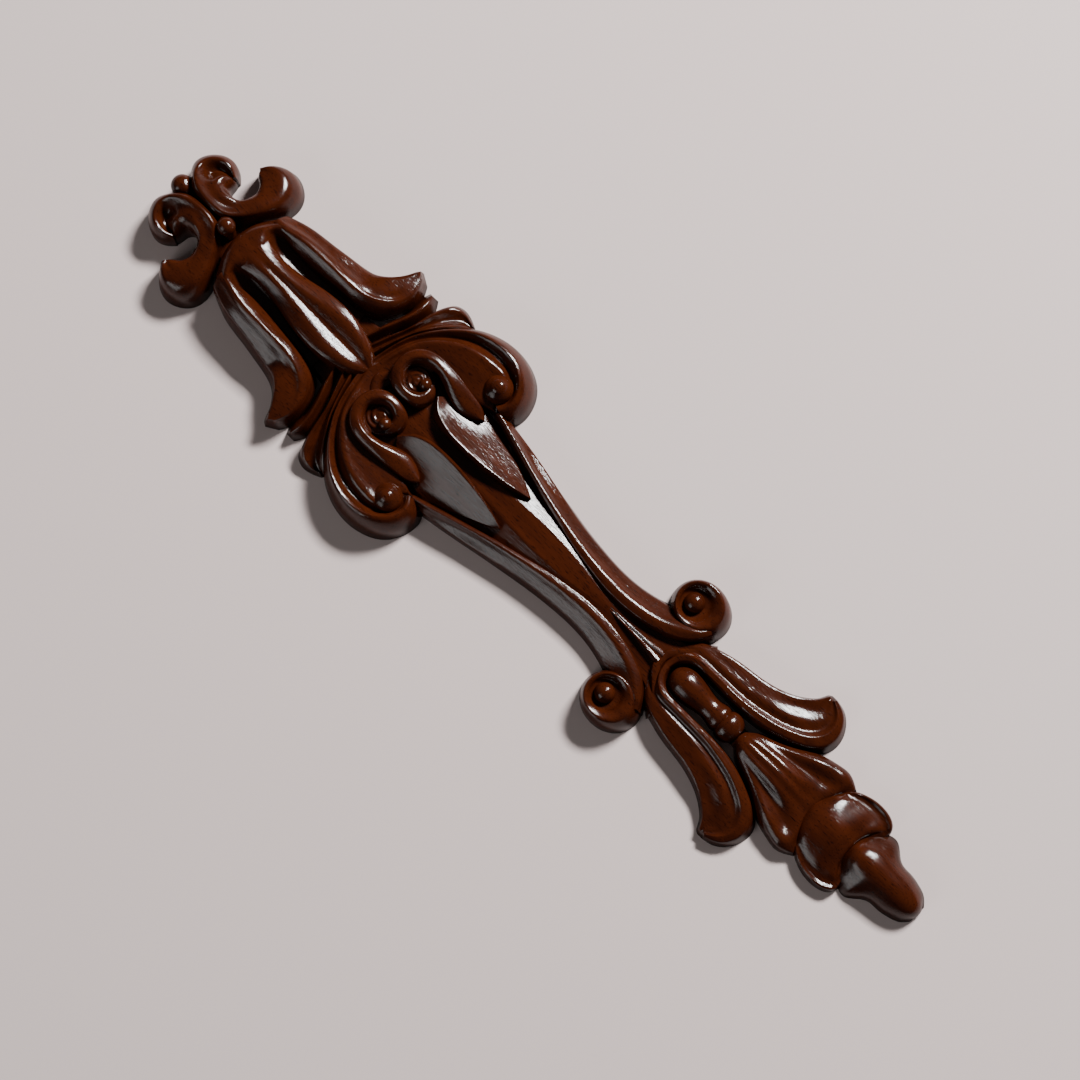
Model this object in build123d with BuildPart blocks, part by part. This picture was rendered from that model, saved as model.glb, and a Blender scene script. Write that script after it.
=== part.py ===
"""Carved rococo furniture mount: a flat-backed wooden drop of scrolls, leaves and husks.

Frame: +Z comes out of the carved face, the glued back is the plane Z = 0, the drop is
symmetric about the plane X = 0, the shell crest points to +Y and the bud to -Y.
Each carved element is a separate piece. The upper elements are let over a ground panel,
the hanging ones over a backing strip, and neighbours are scribed to each other.
Outlines are drawn for the right-hand side (+X) at the back plane, in millimetres.
"""
import os

from build123d import *

# Driving dimensions (mm)
PANEL_THICKNESS = 4.6
STRIP_THICKNESS = 2.0
STRIP_WIDTH = 6.0
STRIP_TOP_Y = -34.0
STRIP_END_Y = -143.0

CREST_HEIGHT = 12.4
BELL_HEIGHT = 13.4
PETAL_HEIGHT = 13.0
FAN_HEIGHT = 8.6
SCROLL_HEIGHT = 10.2
SCROLL_FIELD_Z = 6.4
SNAIL_HEIGHT = 12.0
SPEAR_HEIGHT = 9.2
RAIL_HEIGHT = 7.8
VOLUTE_FLOOR_Z = 3.6
STEM_HEIGHT = 6.2
COLLAR_HEIGHT = 6.4
LOWER_PETAL_HEIGHT = 7.0
HUSK_UPPER_HEIGHT = 6.8
HUSK_LOWER_HEIGHT = 7.2
BUD_HEIGHT = 7.6
SADDLE_HEIGHT = 8.0

BEAD_TOP_RADIUS = 3.0
BEAD_TOP_PLACE = (0, 150.0, 6.6)
BEAD_LOWER_RADIUS = 2.8
BEAD_LOWER_PLACE = (0, 132.3, 11.2)
SCROLL_BALL_RADIUS = 4.6
SCROLL_BALL_PLACE = (22.4, 41.3, 7.4)
VOLUTE_BALL_RADIUS = 3.7
VOLUTE_BALL_PLACE = (18.3, -42.2, 4.9)
VOLUTE_CAVITY_RADIUS = 5.2
PENDANT_AXIS_Z = 3.3
PENDANT_BALL_RADIUS = 4.7
PENDANT_BALL_PLACE = (0, -72.6, 3.0)

os.makedirs("parts", exist_ok=True)


def both_sides(half):
    """Close a half outline, given from top to bottom on the +X side, over X = 0."""
    left = [(-x, y) for x, y in half if x > 0]
    right = list(reversed(half))
    return left + right


def carved_block(outline, height):
    """Raise a closed smooth outline from the back plane to a height."""
    with BuildSketch() as foot:
        with BuildLine():
            Spline(*outline, periodic=True)
        make_face()
    extrude(foot.sketch, amount=height)


def slope_top(point, normal):
    """Cut the active part by a sloping plane and keep what is below it."""
    split(bisect_by=Plane(origin=point, z_dir=normal), keep=Keep.BOTTOM)


def let_over(*neighbours):
    """Scribe the active part to the pieces that it is let over or stands against."""
    for neighbour in neighbours:
        add(neighbour.part, mode=Mode.SUBTRACT)


def dome(radius, place):
    """Add a bead: a half ball on a round shank that reaches the back plane."""
    x, y, z = place
    with Locations((x, y, 0)):
        Cylinder(radius, z, align=(Align.CENTER, Align.CENTER, Align.MIN))
    with Locations(place):
        Sphere(radius)


def keep_above_back():
    """Cut the active part flat at the back plane."""
    split(bisect_by=Plane.XY, keep=Keep.TOP)


# Ground panel and backing strip -------------------------------------------------------
with BuildPart() as backing_strip:
    with BuildSketch():
        with Locations((0, (STRIP_TOP_Y + STRIP_END_Y) / 2)):
            Rectangle(STRIP_WIDTH, STRIP_TOP_Y - STRIP_END_Y)
    extrude(amount=STRIP_THICKNESS)

PANEL_HALF = [
    (0, 142), (4.6, 140), (5.2, 132), (9.5, 120), (11.2, 108), (11.6, 92), (13.5, 80),
    (19, 66), (20, 52), (18, 40), (13, 28), (10.6, 16), (8.6, 2), (6.2, -10), (5, -22),
    (5, -32), (6, -41), (0, -46.4),
]
with BuildPart() as ground_panel:
    with BuildSketch():
        with BuildLine():
            Polyline(*both_sides(PANEL_HALF), close=True)
        make_face()
    extrude(amount=PANEL_THICKNESS)
    let_over(backing_strip)

# Crest: two beads and a pair of C-scrolls ---------------------------------------------
with BuildPart() as crest_bead_lower:
    dome(BEAD_LOWER_RADIUS, BEAD_LOWER_PLACE)
    let_over(ground_panel)

with BuildPart() as crest_bead_top:
    dome(BEAD_TOP_RADIUS, BEAD_TOP_PLACE)
    with BuildSketch():
        with BuildLine():
            Polyline((-2.6, 148.6), (2.6, 148.6), (0, 145.6), close=True)
        make_face()
    extrude(amount=BEAD_TOP_PLACE[2])

CREST_SCROLL = [
    (0.4, 134), (0.4, 138), (0.5, 142), (1.4, 146.6), (3.8, 150.6), (8, 152.8),
    (12.6, 151.4), (15.6, 148.2), (15.9, 144.6), (13.6, 141.4), (10.4, 140.2),
    (8.4, 138.8), (8.2, 136.4), (9.8, 134), (13, 133), (16.2, 134.2), (17.9, 136.8),
    (19.8, 138.2), (22.8, 137.4), (25.6, 134.8), (26.7, 131), (25.9, 126.8),
    (22.8, 123.6), (18.4, 122.4), (13.6, 123.8), (8.8, 127), (4.6, 129.4), (1.6, 131.2),
]
with BuildPart() as crest_scroll_right:
    carved_block(CREST_SCROLL, CREST_HEIGHT)
    slope_top((2, 138, CREST_HEIGHT), (0.2, 0.06, 1))
    let_over(ground_panel, crest_bead_lower, crest_bead_top)

# Bell: a capped centre petal between two flaring petals --------------------------------
BELL_HALF = [
    (0, 127.8), (5, 127.2), (9.4, 125.2), (12, 122.8), (11, 120), (8.6, 119.6), (6.6, 117.6),
    (5.8, 112), (6.4, 104), (7.4, 98), (8.1, 91), (7.7, 85), (6.4, 79), (3.8, 74), (0, 71.2),
]
with BuildPart() as bell_centre:
    carved_block(both_sides(BELL_HALF), BELL_HEIGHT)
    slope_top((0, 118, BELL_HEIGHT), (0, -0.13, 1))
    let_over(ground_panel)

BELL_PETAL = [
    (10, 118.4), (11.6, 120), (12.6, 122.2), (14.6, 122.2), (16.4, 120.6), (17.8, 116),
    (18.9, 110), (20, 102), (20.9, 97), (22.3, 91), (24.6, 87.6), (27.6, 85.6),
    (30.8, 84.9), (32.6, 83), (31.8, 80.4), (29, 78.4), (25.6, 76.9), (21.4, 77),
    (17, 78.6), (13.2, 81.4), (11, 85), (10.2, 90), (9.7, 98), (9.3, 106), (9.3, 112),
]
with BuildPart() as bell_petal_right:
    carved_block(BELL_PETAL, PETAL_HEIGHT)
    slope_top((10, 119, PETAL_HEIGHT), (0.16, -0.17, 1))
    let_over(ground_panel, bell_centre)

# Fans: a curled rib and a hooked leaf on each side ---------------------------------------
FAN_RIB = [
    (8.3, 80.4), (12, 79.6), (17, 77.8), (22, 76.2), (25, 77.4), (27.8, 78.2),
    (29.9, 76.4), (29.4, 73.6), (27, 71.9), (24, 71.7), (20, 72.7), (15, 74.3),
    (10, 76), (7.8, 77.6),
]
with BuildPart() as fan_rib_right:
    carved_block(FAN_RIB, FAN_HEIGHT)
    slope_top((10, 78, FAN_HEIGHT), (0.18, 0, 1))
    let_over(ground_panel, bell_centre, bell_petal_right)

FAN_LEAF = [
    (6.8, 76.4), (10, 75.5), (15, 73.9), (20, 72.4), (24, 71.3), (27, 71.6), (29, 70.8),
    (31.6, 68.8), (33.1, 66), (32.7, 62.6), (31, 60), (28.8, 60.8), (25.5, 64.6),
    (21, 68), (16.5, 70.8), (11, 72.6), (7.2, 73.4),
]
with BuildPart() as fan_leaf_right:
    carved_block(FAN_LEAF, FAN_HEIGHT)
    slope_top((10, 74, FAN_HEIGHT), (0.2, 0, 1))
    let_over(ground_panel, bell_centre, fan_rib_right)

# Snail leaves, saddle and spear leaves inside the big scrolls -------------------------------
SNAIL_LEAF = [
    (12.6, 38.2), (14.8, 38.8), (15.6, 42), (16.9, 47), (17.2, 52), (17.3, 58),
    (16.6, 62.4), (14, 66.2), (10, 68), (6, 67.8), (2.8, 66), (0.8, 62.6), (0.5, 59),
    (1.5, 55.8), (4.4, 53.2), (6.2, 50.4), (6.2, 46.6), (7.4, 42.4), (10, 39.4),
]
with BuildPart() as snail_leaf_right:
    carved_block(SNAIL_LEAF, SNAIL_HEIGHT)
    slope_top((8, 59, SNAIL_HEIGHT), (0, -0.14, 1))
    let_over(ground_panel)

SADDLE_HALF = [(0, 70.6), (2.6, 70), (4.4, 68.4), (2.2, 66.4), (0, 65.2)]
with BuildPart() as saddle:
    carved_block(both_sides(SADDLE_HALF), SADDLE_HEIGHT)
    let_over(ground_panel, bell_centre, snail_leaf_right)
    mirrored_snail = mirror(snail_leaf_right.part, about=Plane.YZ, mode=Mode.PRIVATE)
    add(mirrored_snail, mode=Mode.SUBTRACT)

SPEAR_LEAF = [
    (8.4, 52), (5, 49.4), (3.4, 46.4), (2.6, 42.6), (2.4, 38), (2.7, 30), (3.6, 22.6),
    (4.9, 15), (6.2, 11.6), (8.2, 13.8), (11, 20.8), (14.2, 28.8), (16.4, 35.6),
    (16, 39.4), (13, 44), (11, 49),
]
with BuildPart() as spear_leaf_right:
    carved_block(SPEAR_LEAF, SPEAR_HEIGHT)
    slope_top((3, 30, SPEAR_HEIGHT), (0.34, 0, 1))
    let_over(ground_panel, snail_leaf_right)

# Big scrolls with a ball in each lower curl -------------------------------------------------
with BuildPart() as scroll_ball_right:
    with Locations(SCROLL_BALL_PLACE):
        Sphere(SCROLL_BALL_RADIUS)

BIG_SCROLL = [
    (6.4, 73.6), (11, 72.7), (16.5, 70.9), (21, 68.1), (25.5, 64.7), (28.8, 60.9),
    (31.6, 60.2), (33.8, 57), (35.3, 52), (35.9, 47), (35.3, 41.8), (33.4, 37.2),
    (30, 33.4), (26, 31.4), (22, 30.7), (18.8, 31.4), (16.9, 33.6), (16.2, 37),
    (15.8, 42), (17, 48), (17.3, 56), (16.8, 62), (14, 66.2), (10, 68.2), (5.6, 68.4),
    (4.6, 71),
]
SCROLL_FIELD = [
    (19, 47.4), (18.8, 53), (18.6, 58), (20.4, 60), (22.6, 56.6), (24.6, 51), (24.8, 47.2),
    (22, 46.2),
]
with BuildPart() as big_scroll_right:
    carved_block(BIG_SCROLL, SCROLL_HEIGHT)
    with BuildSketch(Plane.XY.offset(SCROLL_FIELD_Z)):
        with BuildLine():
            Spline(*SCROLL_FIELD, periodic=True)
        make_face()
    extrude(amount=SCROLL_HEIGHT, mode=Mode.SUBTRACT)
    let_over(
        ground_panel, bell_centre, fan_leaf_right, snail_leaf_right, saddle,
        spear_leaf_right, scroll_ball_right,
    )

# Waisted rails that end in lower volutes, each with a ball -----------------------------------
with BuildPart() as volute_ball_right:
    with Locations(VOLUTE_BALL_PLACE):
        Sphere(VOLUTE_BALL_RADIUS)

STEM_HALF = [(0, -23), (0.9, -28), (1.5, -34), (2.1, -40), (2.8, -45.2), (0, -46.6)]
with BuildPart() as stem:
    carved_block(both_sides(STEM_HALF), STEM_HEIGHT)
    let_over(ground_panel, backing_strip)

COLLAR_HALF = [
    (0, -44.8), (3, -45.8), (6.4, -48.4), (10.4, -52.4), (14, -54.8), (14.6, -56.2),
    (12.6, -58), (10.4, -59), (8.6, -57), (6.6, -53.2), (3.6, -50.2), (0, -48.6),
]
with BuildPart() as collar:
    carved_block(both_sides(COLLAR_HALF), COLLAR_HEIGHT)
    let_over(ground_panel, backing_strip, stem)

RAIL = [
    (15.4, 34), (12.8, 26), (10.2, 18), (8.6, 10), (6.4, 0), (3.9, -10), (2.6, -18),
    (2.1, -26), (2.8, -34), (4.2, -41.4), (6.6, -47), (11, -52.4), (16.6, -55),
    (21.4, -54.2), (25, -50.6), (27, -45), (26.5, -40), (23.4, -36.6), (19, -35.4),
    (15.4, -36.4), (13, -33.6), (11.5, -28), (11, -20), (11.5, -12), (12.9, -3),
    (14.6, 6), (16.4, 16), (18, 25), (18.4, 30), (17.2, 33),
]
with BuildPart() as rail_right:
    carved_block(RAIL, RAIL_HEIGHT)
    with Locations((VOLUTE_BALL_PLACE[0], VOLUTE_BALL_PLACE[1], VOLUTE_FLOOR_Z)):
        Cylinder(
            VOLUTE_CAVITY_RADIUS,
            RAIL_HEIGHT,
            align=(Align.CENTER, Align.CENTER, Align.MIN),
            mode=Mode.SUBTRACT,
        )
    let_over(
        ground_panel, backing_strip, spear_leaf_right, snail_leaf_right, big_scroll_right,
        stem, collar, volute_ball_right,
    )

# Hanging elements: petals, drop and ball, husks and bud ---------------------------------------
PENDANT_PROFILE = [
    (0, -52.6), (2.2, -53.4), (3.9, -55.6), (4.5, -58), (4.1, -61.8), (3.4, -66),
    (2.6, -69.4),
]
with BuildPart() as pendant_drop:
    with BuildSketch(Plane.XY.offset(PENDANT_AXIS_Z)):
        with BuildLine():
            Spline(*PENDANT_PROFILE)
            Polyline(PENDANT_PROFILE[-1], (0, PENDANT_PROFILE[-1][1]), PENDANT_PROFILE[0])
        make_face()
    revolve(axis=Axis((0, 0, PENDANT_AXIS_Z), (0, 1, 0)))
    keep_above_back()
    let_over(backing_strip)

with BuildPart() as pendant_ball:
    with Locations(PENDANT_BALL_PLACE):
        Sphere(PENDANT_BALL_RADIUS)
    keep_above_back()
    let_over(backing_strip, pendant_drop)

LOWER_PETAL = [
    (0.4, -49), (3.8, -50.6), (6.8, -53.8), (8.8, -57.6), (10.6, -59.4), (13.6, -58),
    (15.4, -61), (16.3, -66), (17, -72), (18.7, -78), (21.2, -82.4), (24.4, -86.2),
    (27.2, -88.4), (27.9, -91.6), (26.2, -95.4), (22.8, -98.8), (19.2, -100.2),
    (15, -99.6), (11.4, -96.6), (8.4, -91.4), (6, -85), (5, -78), (4.8, -70), (5, -62),
    (5.2, -57), (3.8, -52.8), (0.6, -51.2),
]
with BuildPart() as lower_petal_right:
    carved_block(LOWER_PETAL, LOWER_PETAL_HEIGHT)
    slope_top((5, -60, LOWER_PETAL_HEIGHT), (0.08, -0.06, 1))
    let_over(backing_strip, collar, pendant_ball, rail_right)

HUSK_UPPER_HALF = [
    (0, -77.4), (2.4, -78), (4.4, -80.4), (5.4, -85), (6.9, -91.6), (9.9, -96.8),
    (12.9, -100), (14.6, -104), (15, -108.4), (14.2, -111.6), (12.2, -113), (9.5, -111),
    (7, -109), (4, -107.6), (0, -107),
]
with BuildPart() as husk_upper:
    carved_block(both_sides(HUSK_UPPER_HALF), HUSK_UPPER_HEIGHT)
    let_over(backing_strip, pendant_ball)

HUSK_LOWER_HALF = [
    (0, -106), (4, -106.4), (7, -108), (10.4, -110.6), (13.4, -113.4), (14.8, -117),
    (15.3, -120.6), (14.8, -124.4), (13, -127.2), (10.2, -127.8), (6, -124.4),
    (2.4, -122.9), (0, -122.6),
]
with BuildPart() as husk_lower:
    carved_block(both_sides(HUSK_LOWER_HALF), HUSK_LOWER_HEIGHT)
    let_over(backing_strip, husk_upper)

BUD_HALF = [
    (0, -121.6), (3, -122), (7, -124.4), (10.2, -127.2), (11.4, -130.4), (9.8, -134),
    (7.1, -137), (7.2, -140), (6.2, -143.6), (4.2, -147), (0, -149.2),
]
with BuildPart() as bud:
    carved_block(both_sides(BUD_HALF), BUD_HEIGHT)
    let_over(backing_strip, husk_lower)

# The lower petals stand against the upper husk, which is fitted last.
with BuildPart() as lower_petal_fitted:
    add(lower_petal_right.part)
    let_over(husk_upper)

# Labels and files --------------------------------------------------------------------------------
CENTRE_PIECES = {
    "ground_panel": ground_panel,
    "backing_strip": backing_strip,
    "crest_bead_top": crest_bead_top,
    "crest_bead_lower": crest_bead_lower,
    "bell_centre": bell_centre,
    "saddle": saddle,
    "stem": stem,
    "collar": collar,
    "pendant_drop": pendant_drop,
    "pendant_ball": pendant_ball,
    "husk_upper": husk_upper,
    "husk_lower": husk_lower,
    "bud": bud,
}
PAIRED_PIECES = {
    "crest_scroll": crest_scroll_right,
    "bell_petal": bell_petal_right,
    "fan_rib": fan_rib_right,
    "fan_leaf": fan_leaf_right,
    "big_scroll": big_scroll_right,
    "scroll_ball": scroll_ball_right,
    "snail_leaf": snail_leaf_right,
    "spear_leaf": spear_leaf_right,
    "rail": rail_right,
    "volute_ball": volute_ball_right,
    "lower_petal": lower_petal_fitted,
}

for name, piece in CENTRE_PIECES.items():
    piece.part.label = name
    export_step(piece.part, f"parts/{name}.step")

for name, piece in PAIRED_PIECES.items():
    piece.part.label = f"{name}_right"
    export_step(piece.part, f"parts/{name}_right.step")
    with BuildPart() as opposite:
        mirror(piece.part, about=Plane.YZ)
    opposite.part.label = f"{name}_left"
    export_step(opposite.part, f"parts/{name}_left.step")
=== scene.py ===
"""Carved rococo furniture mount in glossy dark wood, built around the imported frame.

Every carved element is a surface lofted over a few guide lines. A guide line is a list of
(x, y, z) points in millimetres, drawn for the right-hand side, +Z out of the carved face.
"""
import logging
import math
from dataclasses import dataclass, field
from enum import Enum
from typing import Sequence

import bmesh
import bpy
import numpy as np
from mathutils import Matrix


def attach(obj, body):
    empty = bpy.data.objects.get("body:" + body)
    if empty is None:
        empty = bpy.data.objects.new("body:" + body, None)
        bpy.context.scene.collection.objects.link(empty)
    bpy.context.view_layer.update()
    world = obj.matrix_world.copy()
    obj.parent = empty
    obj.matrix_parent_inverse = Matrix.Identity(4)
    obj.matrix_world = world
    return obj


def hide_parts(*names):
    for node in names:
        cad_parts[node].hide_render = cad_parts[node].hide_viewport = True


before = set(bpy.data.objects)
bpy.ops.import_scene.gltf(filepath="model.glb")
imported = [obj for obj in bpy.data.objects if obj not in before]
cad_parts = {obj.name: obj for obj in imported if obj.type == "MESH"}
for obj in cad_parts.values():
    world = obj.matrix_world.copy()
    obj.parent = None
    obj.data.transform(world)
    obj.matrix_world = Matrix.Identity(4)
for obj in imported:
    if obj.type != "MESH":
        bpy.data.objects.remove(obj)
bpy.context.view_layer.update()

LOG = logging.getLogger("furniture_mount")
MM = 0.001
ROOT = "root"

Point = tuple[float, float, float]
Line = Sequence[Point]


class Side(Enum):
    """The half of the drop that a paired piece belongs to."""

    RIGHT = 1
    LEFT = -1

    @property
    def label(self) -> str:
        """Return the ending that the node names use."""
        return self.name.lower()


# Surfaces ------------------------------------------------------------------------------


def smooth_through(points: np.ndarray, knots: np.ndarray, where: np.ndarray) -> np.ndarray:
    """Interpolate rows of points by a natural cubic spline.

    The second derivatives at the knots solve the usual tridiagonal system with zero ends,
    and each span is the cubic that they and the two end points fix.

    Args:
        points: array of shape (n, ...) with one row for each knot.
        knots: increasing parameters, n of them.
        where: parameters at which the spline is evaluated.

    Returns:
        Array of shape (len(where), ...).
    """
    flat = points.reshape(len(points), -1)
    count = len(knots)
    gap = np.diff(knots)
    system = np.zeros((count, count))
    right = np.zeros_like(flat)
    inner = np.arange(1, count - 1)
    system[0, 0] = system[-1, -1] = 1.0
    system[inner, inner - 1] = gap[:-1]
    system[inner, inner] = 2.0 * (gap[:-1] + gap[1:])
    system[inner, inner + 1] = gap[1:]
    slope = np.diff(flat, axis=0) / gap[:, None]
    right[1:-1] = 6.0 * np.diff(slope, axis=0)
    bend = np.linalg.solve(system, right)
    span = np.clip(np.searchsorted(knots, where, side="right") - 1, 0, count - 2)
    step = gap[span][:, None]
    high = ((where - knots[span]) / gap[span])[:, None]
    low = 1.0 - high
    value = low * flat[span] + high * flat[span + 1]
    value += ((low**3 - low) * bend[span] + (high**3 - high) * bend[span + 1]) * step**2 / 6.0
    return value.reshape((len(where),) + points.shape[1:])


def path_length(points: np.ndarray) -> np.ndarray:
    """Return the length of the chord path up to each row of points."""
    return np.concatenate([[0.0], np.cumsum(np.linalg.norm(np.diff(points, axis=0), axis=1))])


def along(lines: Sequence[Line], stations: int) -> np.ndarray:
    """Resample guide lines so that their points match station by station.

    Lines with equally many points share one set of knots, the mean of their chord
    lengths, so their points stay opposite each other. Otherwise each line has its own.

    Args:
        lines: guide lines in millimetres.
        stations: number of stations along the piece.

    Returns:
        Array of shape (stations, lines, 3).
    """
    arrays = [np.array(line, float) for line in lines]
    chords = []
    for array in arrays:
        length = path_length(array)
        chords.append(length / length[-1])
    where = np.linspace(0.0, 1.0, stations)
    if len({len(array) for array in arrays}) == 1:
        knots = np.mean(chords, axis=0)
        return smooth_through(np.stack(arrays, axis=1), knots, where)
    return np.stack([smooth_through(a, k, where) for a, k in zip(arrays, chords)], axis=1)


def across(rows: np.ndarray, steps: int, creases: frozenset[int], soften: int) -> np.ndarray:
    """Join the guide lines crosswise into one skin.

    Between two lines the skin is a cubic Hermite arc. Its slope at a line is the mean of
    the two neighbouring chords weighted by closeness, or at a crease the chord itself.
    A short running mean then takes the knife edge off the creases.

    Args:
        rows: array of shape (stations, lines, 3).
        steps: points between two neighbouring lines.
        creases: numbers of the lines that stay sharp.
        soften: passes of the running mean.

    Returns:
        Array of shape (stations, points across, 3).
    """
    chord = np.diff(rows, axis=1)
    gap = np.linalg.norm(chord, axis=2, keepdims=True) + 1e-6
    pace = chord / gap
    total = gap[:, :-1] + gap[:, 1:]
    middle = (pace[:, :-1] * gap[:, 1:] + pace[:, 1:] * gap[:, :-1]) / total
    leave = np.concatenate([pace[:, :1], middle], axis=1)
    arrive = np.concatenate([middle, pace[:, -1:]], axis=1)
    for line in creases:
        if 0 < line < rows.shape[1] - 1:
            leave[:, line] = pace[:, line]
            arrive[:, line - 1] = pace[:, line - 1]
    t = (np.arange(steps) / steps)[None, None, :, None]
    start, end = rows[:, :-1, None], rows[:, 1:, None]
    go, come = (leave * gap)[:, :, None], (arrive * gap)[:, :, None]
    skin = (
        (2 * t**3 - 3 * t**2 + 1) * start
        + (t**3 - 2 * t**2 + t) * go
        + (3 * t**2 - 2 * t**3) * end
        + (t**3 - t**2) * come
    )
    skin = skin.reshape(rows.shape[0], -1, 3)
    skin = np.concatenate([skin, rows[:, -1:]], axis=1)
    for _ in range(soften):
        skin[:, 1:-1] = 0.25 * skin[:, :-2] + 0.5 * skin[:, 1:-1] + 0.25 * skin[:, 2:]
    return skin


def tube_faces(stations: int, width: int, ring: bool) -> list[tuple[int, ...]]:
    """List the faces of a closed tube of cross-sections, with a fan at each end.

    Args:
        stations: number of cross-sections.
        width: points in each cross-section, which closes on itself.
        ring: whether the last cross-section meets the first.

    Returns:
        Faces as tuples of vertex numbers; the two fan centres follow the grid.
    """
    grid = np.arange(stations * width).reshape(stations, width)
    nxt = np.roll(grid, -1, axis=1)
    upper = np.roll(grid, -1, axis=0) if ring else grid[1:]
    upper_next = np.roll(nxt, -1, axis=0) if ring else nxt[1:]
    low = grid if ring else grid[:-1]
    low_next = nxt if ring else nxt[:-1]
    quads = np.stack([low, low_next, upper_next, upper], axis=2).reshape(-1, 4)
    faces = [tuple(face) for face in quads.tolist()]
    if not ring:
        first, last = stations * width, stations * width + 1
        faces += [(first, b, a) for a, b in zip(grid[0].tolist(), nxt[0].tolist())]
        faces += [(last, a, b) for a, b in zip(grid[-1].tolist(), nxt[-1].tolist())]
    return faces


def to_mesh(name: str, shells: Sequence[tuple[np.ndarray, list]], side: Side) -> bpy.types.Object:
    """Put closed shells into one mesh object, mirrored for the left-hand side.

    Args:
        name: name of the piece.
        shells: (vertices in millimetres, faces) of each closed shell.
        side: half of the drop that the piece belongs to.

    Returns:
        The new object, at the origin, with its place in its mesh, cut off level at z = 0.
    """
    vertices, faces, offset = [], [], 0
    for points, shell_faces in shells:
        vertices.append(points)
        faces += [tuple(offset + index for index in face) for face in shell_faces]
        offset += len(points)
    stack = np.concatenate(vertices) * MM
    stack[:, 0] *= side.value
    stack[:, 2] = np.maximum(stack[:, 2], 0.0)
    mesh = bpy.data.meshes.new(name)
    mesh.from_pydata(stack.tolist(), [], faces)
    close_and_turn_outwards(mesh)
    mesh.set_sharp_from_angle(angle=math.radians(38))
    piece = bpy.data.objects.new(name, mesh)
    bpy.context.scene.collection.objects.link(piece)
    return piece


def close_and_turn_outwards(mesh: bpy.types.Mesh) -> None:
    """Merge the doubled points of a mesh, drop empty faces and turn the rest outwards."""
    work = bmesh.new()
    work.from_mesh(mesh)
    bmesh.ops.remove_doubles(work, verts=work.verts, dist=0.004 * MM)
    bmesh.ops.dissolve_degenerate(work, edges=work.edges, dist=0.002 * MM)
    bmesh.ops.recalc_face_normals(work, faces=work.faces)
    for face in work.faces:
        face.smooth = True
    work.to_mesh(mesh)
    work.free()


@dataclass
class Carving:
    """One carved surface over guide lines, closed by a flat underside."""

    lines: Sequence[Line]
    creases: frozenset[int] = frozenset()
    stations: int = 120
    steps: int = 6
    soften: int = 1
    ring: bool = False

    def shell(self) -> tuple[np.ndarray, list]:
        """Return the closed shell of the carving as vertices and faces."""
        rows = along(self.lines, self.stations)
        if self.ring:
            rows = rows[:-1]
        skin = across(rows, self.steps, self.creases, self.soften)
        count, width = skin.shape[:2]
        points = skin.reshape(-1, 3)
        if not self.ring:
            points = np.concatenate([points, skin[:1].mean(axis=1), skin[-1:].mean(axis=1)])
        return points, tube_faces(count, width, self.ring)


@dataclass
class Turning:
    """A turned bead or ball: a profile of (radius, height) pairs about an upright axis."""

    centre: tuple[float, float]
    profile: Sequence[tuple[float, float]]
    tail: float = 0.0
    segments: int = 64
    rings: int = 40

    def shell(self) -> tuple[np.ndarray, list]:
        """Return the shell: the profile as a spline, swept round; a tail lengthens it to -Y."""
        profile = np.array(self.profile, float)
        length = path_length(profile)
        curve = smooth_through(profile, length, np.linspace(0.0, length[-1], self.rings))
        turn = np.linspace(0.0, 2.0 * np.pi, self.segments, endpoint=False)
        stretch = 1.0 + self.tail * np.clip(-np.sin(turn), 0.0, 1.0) ** 5
        radius = np.clip(curve[:, :1], 0.0, None)
        x = self.centre[0] + radius * np.cos(turn)
        y = self.centre[1] + radius * np.sin(turn) * stretch
        z = np.repeat(curve[:, 1:], self.segments, axis=1)
        points = np.stack([x, y, z], axis=2).reshape(-1, 3)
        ends = [[*self.centre, curve[0, 1]], [*self.centre, curve[-1, 1]]]
        return np.concatenate([points, ends]), tube_faces(self.rings, self.segments, False)


@dataclass
class LyingTurning:
    """A turning whose axis lies along Y, from (y, radius) pairs, cut flat at the back."""

    profile: Sequence[tuple[float, float]]
    axis_height: float
    segments: int = 64
    rings: int = 70

    def shell(self) -> tuple[np.ndarray, list]:
        """Return the shell: the profile as a spline, swept round the lying axis."""
        pairs = np.array(self.profile, float)
        length = path_length(pairs)
        curve = smooth_through(pairs, length, np.linspace(0.0, length[-1], self.rings))
        turn = np.linspace(0.0, 2.0 * np.pi, self.segments, endpoint=False)
        radius = np.clip(curve[:, 1:], 0.0, None)
        x = radius * np.cos(turn)
        z = np.clip(self.axis_height + radius * np.sin(turn), 0.0, None)
        y = np.repeat(curve[:, :1], self.segments, axis=1)
        points = np.stack([x, y, z], axis=2).reshape(-1, 3)
        ends = [[0.0, curve[0, 0], self.axis_height], [0.0, curve[-1, 0], self.axis_height]]
        return np.concatenate([points, ends]), tube_faces(self.rings, self.segments, False)


def ball(centre: Point, radius: float, foot: float = 0.0) -> Turning:
    """Return a ball on a short shank down to a foot height, as a turning."""
    angle = np.linspace(-0.35, 0.5 * np.pi, 14)
    arc = [(radius * math.cos(a), centre[2] + radius * math.sin(a)) for a in angle]
    arc[-1] = (0.0, centre[2] + radius)
    shank = (arc[0][0], min(foot, arc[0][1] - 0.5))
    return Turning(centre=centre[:2], profile=[shank] + arc)


def both_halves(half: Sequence[Line]) -> list[Line]:
    """Order half guide lines, given from the centre outwards, from left foot to right foot."""
    left = [[(-x, y, z) for x, y, z in line] for line in reversed(half[1:])]
    return left + list(half)


def through_centre(line: Line) -> Line:
    """Run a guide line that starts at X = 0 from its mirrored end through to its end."""
    return [(-x, y, z) for x, y, z in reversed(line[1:])] + list(line)


# Finishes ------------------------------------------------------------------------------


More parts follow.
